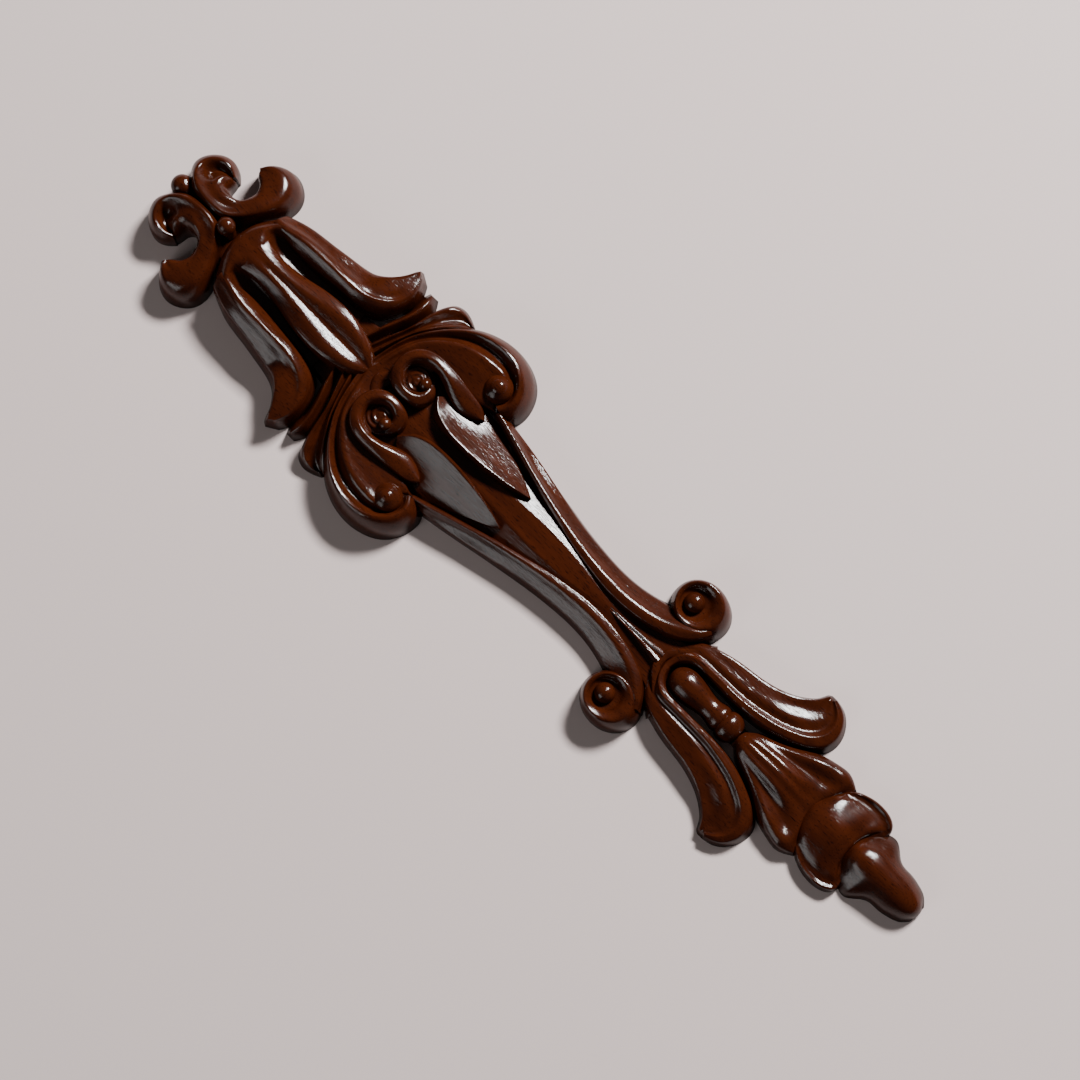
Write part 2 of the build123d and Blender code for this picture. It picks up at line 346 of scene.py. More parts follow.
@dataclass(frozen=True)
class LacquerFinish:
    """Stained wood under a clear glossy lacquer, with painted shade: the colour is darkened near the
    floor, where the low recesses lie in shade.
    """

    name: str
    light: tuple[float, float, float] = (0.041, 0.0079, 0.0023)
    dark: tuple[float, float, float] = (0.024, 0.0046, 0.0015)
    pore: tuple[float, float, float] = (0.006, 0.0012, 0.0006)
    # Painted shade: the colour is scaled by this factor at z = 0 and reaches full strength at the height
    # below, so the low recesses look shaded.
    painted_shade_at_floor: float = 0.3
    painted_shade_top: float = 4.5 * MM
    base_roughness: float = 0.42
    coat_weight: float = 0.6
    coat_roughness: float = 0.15
    ripple_strength: float = 0.5
    figure_scale: Point = (260.0, 26.0, 260.0)
    pore_scale: Point = (4600.0, 330.0, 4600.0)
    ripple_scale: Point = (3600.0, 180.0, 3600.0)

    def material(self) -> bpy.types.Material:
        """Build the material: grain and pores drawn out along Y, painted shade near the floor, under a
        clear coat.
        """
        material = bpy.data.materials.new(self.name)
        material.use_nodes = True
        nodes, links = material.node_tree.nodes, material.node_tree.links
        nodes.clear()
        output = nodes.new("ShaderNodeOutputMaterial")
        shader = nodes.new("ShaderNodeBsdfPrincipled")
        links.new(shader.outputs["BSDF"], output.inputs["Surface"])
        coords = nodes.new("ShaderNodeTexCoord")

        def noise(scale: Point, detail: float, roughness: float) -> bpy.types.Node:
            """Add a noise on object coordinates stretched by a scale on each axis."""
            mapping = nodes.new("ShaderNodeMapping")
            mapping.inputs["Scale"].default_value = scale
            links.new(coords.outputs["Object"], mapping.inputs["Vector"])
            texture = nodes.new("ShaderNodeTexNoise")
            texture.inputs["Scale"].default_value = 1.0
            texture.inputs["Detail"].default_value = detail
            texture.inputs["Roughness"].default_value = roughness
            links.new(mapping.outputs["Vector"], texture.inputs["Vector"])
            return texture

        def ramp(source: bpy.types.Node, stops: Sequence[tuple[float, tuple]]) -> bpy.types.Node:
            """Add a colour ramp on a noise factor."""
            node = nodes.new("ShaderNodeValToRGB")
            elements = node.color_ramp.elements
            while len(elements) < len(stops):
                elements.new(0.5)
            for element, (place, colour) in zip(elements, stops):
                element.position = place
                element.color = (*colour, 1.0)
            links.new(source.outputs["Fac"], node.inputs["Fac"])
            return node

        figure = noise(self.figure_scale, 3.0, 0.55)
        tone = ramp(figure, [(0.3, self.dark), (0.62, self.light)])
        pores = noise(self.pore_scale, 2.0, 0.5)
        pore_mask = ramp(pores, [(0.3, (1.0, 1.0, 1.0)), (0.42, (0.0, 0.0, 0.0))])
        mix = nodes.new("ShaderNodeMix")
        mix.data_type = "RGBA"
        links.new(pore_mask.outputs["Color"], mix.inputs["Factor"])
        links.new(tone.outputs["Color"], mix.inputs["A"])
        mix.inputs["B"].default_value = (*self.pore, 1.0)
        # Painted shade: the colour is scaled down with height towards the floor, so the low walls and
        # recesses look as if in shade.
        height = nodes.new("ShaderNodeSeparateXYZ")
        links.new(coords.outputs["Object"], height.inputs["Vector"])
        depth = nodes.new("ShaderNodeMapRange")
        depth.inputs["From Max"].default_value = self.painted_shade_top
        depth.inputs["To Min"].default_value = self.painted_shade_at_floor
        links.new(height.outputs["Z"], depth.inputs["Value"])
        colour_with_painted_shade = nodes.new("ShaderNodeVectorMath")
        colour_with_painted_shade.operation = "SCALE"
        links.new(mix.outputs["Result"], colour_with_painted_shade.inputs[0])
        links.new(depth.outputs["Result"], colour_with_painted_shade.inputs["Scale"])
        links.new(colour_with_painted_shade.outputs["Vector"], shader.inputs["Base Color"])
        ripple = noise(self.ripple_scale, 2.0, 0.6)
        bump = nodes.new("ShaderNodeBump")
        bump.inputs["Strength"].default_value = self.ripple_strength
        bump.inputs["Distance"].default_value = 0.1 * MM
        links.new(ripple.outputs["Fac"], bump.inputs["Height"])
        links.new(bump.outputs["Normal"], shader.inputs["Normal"])
        links.new(bump.outputs["Normal"], shader.inputs["Coat Normal"])
        shader.inputs["Roughness"].default_value = self.base_roughness
        shader.inputs["Specular IOR Level"].default_value = 0.0
        shader.inputs["Coat Weight"].default_value = self.coat_weight
        shader.inputs["Coat Roughness"].default_value = self.coat_roughness
        shader.inputs["Coat IOR"].default_value = 1.5
        return material


class Slot(Enum):
    """Material slots of the record."""

    CARVED = "carved_wood"
    BEAD = "bead_wood"
    GROUND = "ground_wood"
    HIDDEN = "hidden_wood"


FINISHES = {
    Slot.CARVED: LacquerFinish("carved_wood_lacquer"),
    Slot.BEAD: LacquerFinish("bead_wood_lacquer"),
    Slot.GROUND: LacquerFinish("ground_wood_lacquer"),
    Slot.HIDDEN: LacquerFinish("hidden_wood_stain", base_roughness=0.6),
}


@dataclass
class Workshop:
    """Makes the finished pieces: mesh, material, body, node and slot in one place."""

    materials: dict[Slot, bpy.types.Material] = field(default_factory=dict)

    def prepare(self) -> None:
        """Build the materials once."""
        self.materials = {slot: finish.material() for slot, finish in FINISHES.items()}

    def piece(self, node: str, parts: Sequence, slot: Slot = Slot.CARVED, side: Side = Side.RIGHT) -> None:
        """Build one piece that stands for a node of the frame.

        Args:
            node: name of the CAD node that the piece replaces.
            parts: carvings and turnings that make the piece.
            slot: material slot.
            side: half of the drop, which mirrors the guide lines for the left.
        """
        made = to_mesh(f"{node}_carved", [part.shell() for part in parts], side)
        made.data.materials.append(self.materials[slot])
        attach(made, ROOT)
        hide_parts(node)
        LOG.info("made %s with %d faces", made.name, len(made.data.polygons))

    def pair(self, name: str, parts: Sequence, slot: Slot = Slot.CARVED) -> None:
        """Build the right-hand piece and its mirror image."""
        for side in Side:
            self.piece(f"{name}_{side.label}", parts, slot, side)


# Sub-assemblies ------------------------------------------------------------------------


@dataclass
class Crest:
    """Two C-scrolls back to back, with a bead above and a bead below."""

    lower_bead_centre: Point = (0, 131.2, 11.1)
    lower_bead_radius: float = 2.8
    top_bead_centre: Point = (0, 150.4, 6.8)
    top_bead_radius: float = 3.4
    top_bead_tail: float = 0.35
    scroll_foot: Line = (
        (13, 140.2, 0), (15.8, 143.6, 0), (15.9, 148, 0), (12.6, 152.6, 0), (8.2, 153.8, 0),
        (3.8, 151.8, 0), (0.8, 147.4, 0), (0.1, 142, 0), (0.1, 137, 0), (1, 133, 0), (4.4, 129.4, 0),
        (9, 126.4, 0), (14, 123.4, 0), (19, 122.3, 0), (24, 124.4, 0), (26.6, 129, 0), (26.2, 133.4, 0),
        (23.2, 137.4, 0), (19.6, 138.6, 0))
    scroll_shoulder: Line = (
        (12.9, 140.6, 4), (15.3, 143.9, 5.5), (15.3, 147.9, 6), (12.2, 151.6, 6.5), (8.2, 152.9, 7),
        (4.2, 151, 7.5), (1.4, 147.2, 9.5), (0.3, 142, 11), (0.3, 137.2, 11), (1.2, 133.2, 9.6),
        (4.8, 129.8, 8.5), (9.2, 127, 7.5), (14, 124.6, 6.5), (18.9, 123.9, 6), (23.2, 126.2, 6),
        (25, 130.2, 6), (24.7, 133.6, 6), (22.6, 136.5, 6.4), (19.8, 138.1, 7))
    outer_rim: Line = (
        (12.5, 141.4, 7.2), (13.7, 144.4, 8.2), (13.3, 147.7, 8.6), (11.2, 150.1, 9), (8.3, 150.9, 9.4),
        (5.2, 149.7, 10.9), (2.8, 146.7, 12.2), (1.4, 142, 12.7), (1.4, 137.6, 12.7), (2.4, 133.8, 12.2),
        (5.6, 130.6, 11), (9.6, 128, 10.2), (14.2, 126.1, 9.6), (18.4, 126.2, 9.1), (21.6, 128.6, 8.7),
        (22.9, 131.8, 8.4), (22.6, 134.6, 8.2), (21.2, 136.7, 8), (19.5, 137.6, 7.8))
    cove: Line = (
        (11.6, 141.6, 6.6), (11.8, 143.9, 6.4), (11.3, 145.9, 6.2), (10, 147, 6.2), (8.4, 147.3, 6.6),
        (6.6, 146.6, 9), (5, 144.6, 11), (3.7, 141.2, 11.95), (3.7, 138.2, 11.95), (4.7, 134.9, 11.3),
        (7, 132.4, 10.8), (10.4, 130.4, 10.6), (14, 129.4, 10.1), (16.8, 129.8, 9.6), (19, 131.6, 9.1),
        (20, 133.4, 8.6), (20.1, 135, 8.1), (19.6, 136.4, 7.7), (19, 137.2, 7.4))
    inner_rim: Line = (
        (11.8, 141.9, 7), (11, 142.7, 8.4), (10.1, 143.1, 9.4), (9.2, 143.3, 10), (8.2, 143.3, 10.4),
        (7.1, 142.9, 10.9), (6.1, 141.8, 11.4), (5.4, 139.9, 11.9), (5.4, 137.9, 12), (6.2, 135.6, 11.4),
        (8.2, 133.8, 10.6), (10.8, 132.6, 9.9), (13.4, 132.2, 9.3), (15.4, 132.9, 8.9), (16.8, 134, 8.5),
        (17.5, 135, 8.2), (18, 135.8, 8), (18.3, 136.5, 7.8), (18.6, 137.1, 7.5))
    opening_lip: Line = (
        (12.2, 141.3, 5.5), (11.5, 141.4, 7), (10.6, 141.6, 8.2), (9.8, 141.7, 9), (8.9, 141.6, 9.5),
        (7.9, 141.2, 10.1), (7, 140.4, 11), (6.5, 139, 11.55), (6.5, 137.3, 11.65), (7.1, 135.3, 11.1),
        (8.9, 133.8, 10), (11.1, 133, 9.3), (13.3, 132.7, 8.7), (15.1, 133.3, 8.3), (16.5, 134.3, 7.9),
        (17.2, 135.3, 7.6), (17.7, 136.1, 7.4), (18.1, 136.7, 7.2), (18.6, 137.3, 6.8))
    opening_foot: Line = (
        (12.6, 140.5, 0), (11.8, 140.2, 0), (11, 140, 0), (10.2, 139.9, 0), (9.4, 139.8, 0),
        (8.6, 139.5, 0), (7.9, 139, 0), (7.3, 138, 0), (7.2, 136.6, 0), (8, 135, 0), (9.6, 133.9, 0),
        (11.4, 133.4, 0), (13.1, 133.3, 0), (14.8, 133.7, 0), (16.2, 134.7, 0), (17, 135.6, 0),
        (17.5, 136.4, 0), (18, 137, 0), (18.6, 137.6, 0))

    def build(self, shop: Workshop) -> None:
        """Build the scrolls and their beads."""
        lines = (self.scroll_foot, self.scroll_shoulder, self.outer_rim, self.cove,
                 self.inner_rim, self.opening_lip, self.opening_foot)
        shop.pair("crest_scroll", [Carving(lines, stations=150)])
        lower = ball(self.lower_bead_centre, self.lower_bead_radius, foot=4)
        shop.piece("crest_bead_lower", [lower], Slot.BEAD)
        top = ball(self.top_bead_centre, self.top_bead_radius)
        top.tail = self.top_bead_tail
        shop.piece("crest_bead_top", [top], Slot.BEAD)


@dataclass
class Bell:
    """A capped centre petal between two flaring side petals."""

    centre_petal_groove: Line = (
        (0, 122, 13.7), (0, 118, 13.7), (0, 112, 13.1), (0, 104, 12.5), (0, 98, 12), (0, 91, 11.3),
        (0, 85, 10.5), (0, 79, 9.6), (0, 74.5, 8.5), (0, 71.6, 7.2))
    centre_petal_lobe: Line = (
        (2.2, 122, 13.8), (1.9, 118, 13.8), (1.5, 112, 13.5), (1.8, 104, 13.2), (2.6, 98, 13),
        (3.5, 91, 12.7), (4.2, 85, 12.2), (3.7, 79, 11.1), (2.1, 74.8, 9.6), (0.3, 71.9, 7.4))
    centre_petal_flank: Line = (
        (4.6, 122, 13.4), (3.8, 118, 13.1), (3.1, 112, 12.8), (3.7, 104, 12.4), (4.9, 98, 12.3),
        (6, 91, 12.3), (6.3, 85, 11.8), (5.2, 79, 10.7), (3, 74.4, 9.2), (0.4, 71.6, 7.1))
    centre_petal_edge: Line = (
        (6.8, 122, 12.4), (5.6, 118, 12.1), (4.9, 112, 11.2), (5.7, 104, 11), (6.9, 98, 11.4),
        (7.7, 91, 11.5), (7.5, 85, 11.1), (6.1, 79, 9.9), (3.7, 74.1, 8.4), (0.5, 71.3, 6.6))
    centre_petal_foot: Line = (
        (7.4, 122, 5), (6.2, 118, 4.6), (5.6, 112, 4.6), (6.4, 104, 4.6), (7.5, 98, 4.6), (8.3, 91, 4.6),
        (8.1, 85, 4.6), (6.7, 78.6, 4.6), (4.1, 73.3, 4.6), (0.6, 70.7, 4.4))
    cap_rows: Sequence[Line] = (
        (
            (0, 127.9, 4.6), (3.6, 127.6, 4.6), (7, 126.6, 4.6), (10.2, 125, 4), (13, 123.2, 2),
            (15.6, 121.3, 0)),
        (
            (0, 127.5, 8.6), (3.5, 127.2, 8.5), (7, 126.2, 8.3), (10.1, 124.6, 7.8), (12.9, 122.9, 7),
            (15.5, 121, 6)),
        (
            (0, 125.9, 12.3), (3.4, 125.5, 12.3), (6.6, 124.5, 12), (9.6, 122.9, 11.5),
            (12.3, 121.2, 10.7), (14.7, 119.6, 9.3)),
        (
            (0, 122.6, 13.8), (3.3, 122.4, 13.8), (6.4, 121.8, 13.5), (9.2, 120.8, 12.9),
            (11.6, 119.6, 12.3), (13.8, 117.8, 10.9)),
        (
            (0, 118.6, 13.5), (3.2, 118.8, 13.4), (6, 119.5, 12.4), (8.4, 119.6, 11),
            (11.2, 117.8, 12.2), (13.4, 115.6, 10.6)),
        (
            (0, 116.6, 12.4), (3.1, 117, 12), (5.2, 117.4, 10.4), (8.1, 118, 9.6), (11, 116.6, 10),
            (13, 114, 9)),
        (
            (0, 108, 9), (3, 108, 9), (5.4, 108, 7.4), (8, 108, 6.8), (10.6, 108, 7), (12.8, 107, 7)),
        (
            (0, 85, 7), (3, 85, 7), (6, 85, 5.8), (8.9, 85, 5.2), (11, 85.4, 5), (12.4, 86.4, 5)))
    side_petal_slot_foot: Line = (
        (9.4, 122, 5), (9.2, 118.5, 4.6), (8.6, 113, 4.6), (8.6, 106, 4.6), (9, 99, 4.6), (9.6, 92, 4.6),
        (10.4, 86.6, 4.6), (12.4, 81.8, 3), (16.6, 78.6, 2), (21.6, 77, 0), (26.4, 77.2, 0),
        (30.4, 79.2, 0))
    side_petal_slot_edge: Line = (
        (10, 122, 10.6), (9.9, 118.5, 10.8), (9.4, 113, 9.8), (9.4, 106, 9), (9.9, 99, 8.9),
        (10.5, 92, 8.8), (11.4, 87, 8.2), (13.4, 82.7, 7.4), (17.2, 79.6, 6.8), (21.8, 78.1, 6),
        (26.2, 78.3, 5.2), (29.9, 80.2, 4.4))
    side_petal_ridge_in: Line = (
        (10.4, 122, 11.7), (10.6, 118.4, 12.2), (11.5, 113, 12.1), (12, 106, 11.7), (12, 99, 11.2),
        (12.2, 92, 10.7), (13.4, 86.9, 9.9), (15.4, 83, 9.2), (18.6, 80.2, 8.3), (22.5, 78.9, 7.7),
        (26.3, 79, 7.1), (29.8, 80.6, 6.4))
    side_petal_ridge: Line = (
        (10.9, 122, 12), (11.5, 118.5, 12.6), (12.6, 113, 12.6), (13.2, 106, 12.3), (13.4, 99, 12),
        (13.7, 92, 11.4), (14.7, 87.2, 10.6), (16.6, 83.6, 9.8), (19.4, 80.9, 8.8), (22.8, 79.5, 8.2),
        (26.4, 79.4, 7.5), (29.8, 80.9, 6.8))
    side_petal_ridge_out: Line = (
        (11.8, 122, 11.8), (12.4, 118.4, 12.2), (13.6, 113, 12.2), (14.2, 106, 11.9), (14.4, 99, 11.5),
        (14.8, 92.1, 10.9), (15.8, 87.6, 10), (17.6, 84.3, 9.4), (20.3, 81.7, 8.5), (23.3, 80.2, 8.1),
        (26.8, 80, 7.4), (30, 81.2, 6.7))
    side_petal_slope: Line = (
        (13, 121.8, 11), (13.8, 118.2, 11), (15, 113, 10.9), (15.8, 106, 10.5), (16.4, 99, 9.9),
        (17.1, 92.2, 9.1), (18.3, 88, 9.4), (20.4, 84.8, 9.1), (22.8, 82.6, 8.5), (25.4, 81.5, 7.9),
        (28, 81.3, 7.3), (30.4, 81.8, 6.7))
    side_petal_outer_edge: Line = (
        (15.3, 121.2, 9), (16.5, 117.8, 9.1), (17.7, 113, 9), (18.6, 106, 8.5), (19.6, 99, 7.8),
        (20.8, 92.4, 6.8), (22.4, 88.8, 8.5), (24.4, 86.6, 8.5), (26.6, 85, 8), (28.6, 83.9, 7.6),
        (30.2, 83.2, 7.2), (31.3, 82.6, 6.8))
    side_petal_outer_foot: Line = (
        (16, 120.8, 0), (17.4, 117.4, 0), (18.8, 113, 0), (19.8, 106, 0), (20.9, 99, 0), (22.2, 92.6, 0),
        (23.8, 89.2, 0), (25.8, 87.2, 0), (28, 85.8, 0), (30, 85, 0), (31.6, 84.2, 0), (32.5, 82.8, 0))

    def centre_petal(self) -> Carving:
        """Return the two-lobed centre petal with its groove."""
        half = (
            self.centre_petal_groove, self.centre_petal_lobe, self.centre_petal_flank,
            self.centre_petal_edge, self.centre_petal_foot)
        return Carving(both_halves(half), frozenset({1, 4, 7}), stations=150)

    def cap(self) -> Carving:
        """Return the rounded cap that the three petals hang from."""
        return Carving([through_centre(row) for row in self.cap_rows], frozenset(), stations=80, steps=9)

    def side_petal(self) -> Carving:
        """Return the right-hand petal: a fine ridge and a wide slope that flare to a tip."""
        lines = (
            self.side_petal_slot_foot, self.side_petal_slot_edge, self.side_petal_ridge_in,
            self.side_petal_ridge, self.side_petal_ridge_out, self.side_petal_slope,
            self.side_petal_outer_edge, self.side_petal_outer_foot)
        return Carving(lines, frozenset({1, 6}), stations=150)

    def build(self, shop: Workshop) -> None:
        """Build the cap with its centre petal, and the side petals."""
        shop.piece("bell_centre", [self.cap(), self.centre_petal()])
        shop.pair("bell_petal", [self.side_petal()])


@dataclass
class Fans:
    """A curled rib and a hooked double leaf on each side, under the bell."""

    rib_upper: Line = (
        (4.5, 81, 4), (12, 79.4, 4), (17, 78, 3), (22, 77, 2), (26, 78, 0), (29.6, 77, 0))
    rib_ridge: Line = (
        (4.5, 80, 8.6), (12, 77.7, 8.7), (17, 75.9, 8), (22, 74.7, 7), (26, 74.6, 5.8), (28.8, 75.4, 4))
    rib_lower: Line = (
        (4.5, 78.2, 4), (12, 75.8, 4), (17, 73.8, 3), (22, 72.4, 2), (26.2, 71.9, 0), (29.6, 73.8, 0))
    leaf_outer_foot: Line = (
        (3.4, 78.2, 4), (12, 75, 4), (18, 73, 3), (24, 71.9, 1), (29, 71, 0), (32.4, 69, 0),
        (33.2, 65, 0), (31.4, 60.2, 0))
    leaf_outer_ridge: Line = (
        (3.4, 77.4, 8.2), (12, 74.2, 8.3), (18, 72.2, 7.7), (24, 71, 6.8), (28.2, 69.7, 5.6),
        (31, 67.6, 4.3), (31.8, 64.8, 3.2), (30.9, 60.9, 2.4))
    leaf_hollow: Line = (
        (3.4, 76.2, 7), (12, 73.3, 6.6), (18, 71.2, 5.7), (23.4, 69, 4.6), (27, 66.8, 3.5),
        (29.4, 64.8, 2.7), (30.4, 63, 2.2), (30.6, 61, 2))
    leaf_inner_ridge: Line = (
        (3.2, 75.2, 8), (12, 72.6, 8.3), (18, 70.2, 7.8), (22, 67.7, 7.1), (25.2, 65.3, 6.2),
        (27.6, 63.2, 5), (29.2, 61.6, 3.6), (30.3, 60.6, 2.6))
    leaf_inner_foot: Line = (
        (3, 74, 4), (12, 71.4, 4), (18, 68.6, 3), (22, 66, 2), (25, 63.8, 1), (27.4, 61.8, 0),
        (29, 60.6, 0), (30.4, 60, 0))

    def rib(self) -> Carving:
        """Return the right-hand rib."""
        return Carving((self.rib_upper, self.rib_ridge, self.rib_lower), stations=90, steps=10)

    def leaf(self) -> Carving:
        """Return the right-hand leaf with its two ridges."""
        lines = (
            self.leaf_outer_foot, self.leaf_outer_ridge, self.leaf_hollow, self.leaf_inner_ridge,
            self.leaf_inner_foot)
        return Carving(lines, stations=110)

    def build(self, shop: Workshop) -> None:
        """Build the ribs and leaves."""
        shop.pair("fan_rib", [self.rib()])
        shop.pair("fan_leaf", [self.leaf()])


@dataclass
class BigScrolls:
    """Big side scrolls, each winding round a ball on a wider seat."""

    ball_centre: Point = (22.6, 41.5, 7.9)
    ball_radius: float = 3.1
    ball_seat: Sequence[tuple[float, float]] = ((4.5, 5), (4.4, 7.4), (3.8, 8.6))
    ball_seat_top: float = 9.6
    scroll_foot: Line = (
        (0, 75, 3), (12, 72.2, 2), (18, 69.8, 1), (24.6, 66, 0), (30.6, 60.4, 0), (34.2, 54, 0),
        (35.6, 47, 0), (34.6, 40, 0), (31.2, 34.2, 0), (25.6, 31, 0), (20.2, 30.8, 0), (16.9, 33.6, 0))
    scroll_shoulder: Line = (
        (0, 74.6, 6.2), (12, 71.8, 7), (18, 69.3, 6.5), (24.2, 65.3, 6), (29.8, 59.7, 6), (33, 53.4, 6),
        (34.2, 47, 6), (33.2, 41, 6), (30.2, 36, 6), (25.4, 33, 6), (20.6, 32.8, 6), (17.4, 35, 6))
    scroll_rim: Line = (
        (0, 74, 7.4), (12, 71.2, 9), (18, 68.6, 9), (23.6, 64.4, 9), (28.4, 58.8, 9.2), (31, 52.8, 9.4),
        (31.5, 47, 9.6), (30.4, 42.2, 9.6), (28, 38.6, 9.4), (24.6, 36.2, 9), (21, 35.6, 8.6),
        (18, 37.4, 8))
    scroll_cove: Line = (
        (0, 73, 7.2), (12, 70.2, 7.8), (18, 67, 7.6), (22.8, 62.6, 7.2), (26.8, 57.2, 7), (28.5, 52, 7),
        (28.9, 47, 7), (28.2, 43, 7), (26.6, 40, 6.8), (24, 38, 6.6), (21.2, 37.6, 6.6),
        (18.8, 39.2, 6.6))
    scroll_ridge: Line = (
        (0, 72, 7.8), (11.6, 69.2, 9), (16.2, 66.6, 9.4), (20.6, 62.4, 9.6), (24, 57, 9.6),
        (25.8, 51.8, 9.5), (26.3, 47.4, 9.3), (26.4, 43.6, 8.9), (25.4, 41, 8.4), (23.4, 39.6, 8),
        (21.2, 39.4, 7.6), (19.4, 40.6, 7.4))
    scroll_field_line: Line = (
        (0, 69.6, 7.6), (8, 68.6, 8.2), (14.6, 65, 8.9), (18.6, 61, 9.2), (21.8, 56, 9.2),
        (23.2, 51.6, 9.1), (23.7, 47.6, 8.8), (23.6, 44.4, 8.2), (22.8, 42.6, 7.6), (21.8, 41.6, 7.2),
        (21, 41.4, 7), (20.2, 41.8, 7))
    scroll_field_edge: Line = (
        (0, 65, 7.2), (5, 62.6, 7.6), (10, 59.6, 8), (14.2, 57, 8.2), (15.2, 53.6, 8.2), (15.4, 50, 8),
        (15.2, 46.6, 7.6), (15.4, 43.6, 7.3), (16, 41, 7), (16.8, 39.2, 6.6), (17.2, 38, 6), (17, 37, 5))
    scroll_inner_foot: Line = (
        (0, 64.9, 4.4), (4.9, 62.5, 4.4), (9.8, 59.5, 4.4), (13.9, 56.9, 4.4), (14.9, 53.5, 4.4),
        (15.1, 49.9, 4.4), (14.9, 46.5, 4.4), (15.1, 43.5, 4.4), (15.7, 40.8, 4.4), (16.3, 38.8, 4),
        (16.6, 37.2, 2.5), (16.4, 35.6, 0))

    def scroll(self) -> Carving:
        """Return the right-hand scroll: an outer rim, a cove, an inner ridge and a field."""
        lines = (
            self.scroll_foot, self.scroll_shoulder, self.scroll_rim, self.scroll_cove, self.scroll_ridge,
            self.scroll_field_line, self.scroll_field_edge, self.scroll_inner_foot)
        return Carving(lines, frozenset({6}), stations=160)

    def build(self, shop: Workshop) -> None:
        """Build the scrolls and the balls in their curls."""
        shop.pair("big_scroll", [self.scroll()])
        eye = ball(self.ball_centre, self.ball_radius)
        crown = [place for place in eye.profile if place[1] > self.ball_seat_top]
        eye.profile = [*self.ball_seat, *crown]
        shop.pair("scroll_ball", [eye], Slot.BEAD)


@dataclass
class RolledHeart:
    """The rolled heart of a leaf: a low dome with a groove that winds outwards."""

    centre: tuple[float, float] = (7.4, 59.6)
    radius: float = 5.4
    foot: float = 4.0
    rim: float = 7.0
    rise: float = 2.0
    groove: float = 0.2
    pitch: float = 1.9
    spokes: int = 96
    rings: int = 48

    def shell(self) -> tuple[np.ndarray, list]:
        """Return the closed shell of the heart.

        On a polar grid the height is an elliptic dome, plus the groove depth times
        cos(2 pi r / pitch - angle), which fades out at the middle and at the rim.
        """
        turn = np.linspace(0.0, 2.0 * np.pi, self.spokes, endpoint=False)
        angle, part = np.meshgrid(turn, np.linspace(0.0, 1.0, self.rings), indexing="ij")
        reach = part * self.radius
        dome = self.rim + self.rise * np.sqrt(np.clip(1.0 - part**2, 0.0, 1.0))
        fade = np.clip(part * 3.0, 0.0, 1.0) * (1.0 - part**6)
        height = dome + self.groove * np.cos(2.0 * np.pi * reach / self.pitch - angle) * fade
        x = self.centre[0] + reach * np.cos(angle)
        y = self.centre[1] + reach * np.sin(angle)
        top = np.stack([x, y, height], axis=2)
        foot = top[:, -1:].copy()
        foot[:, :, 2] = self.foot
        points = np.concatenate([top, foot], axis=1).transpose(1, 0, 2).reshape(-1, 3)
        ends = np.array([[*self.centre, dome[0, 0]], [*self.centre, self.foot]])
        return np.concatenate([points, ends]), tube_faces(self.rings + 1, self.spokes, False)


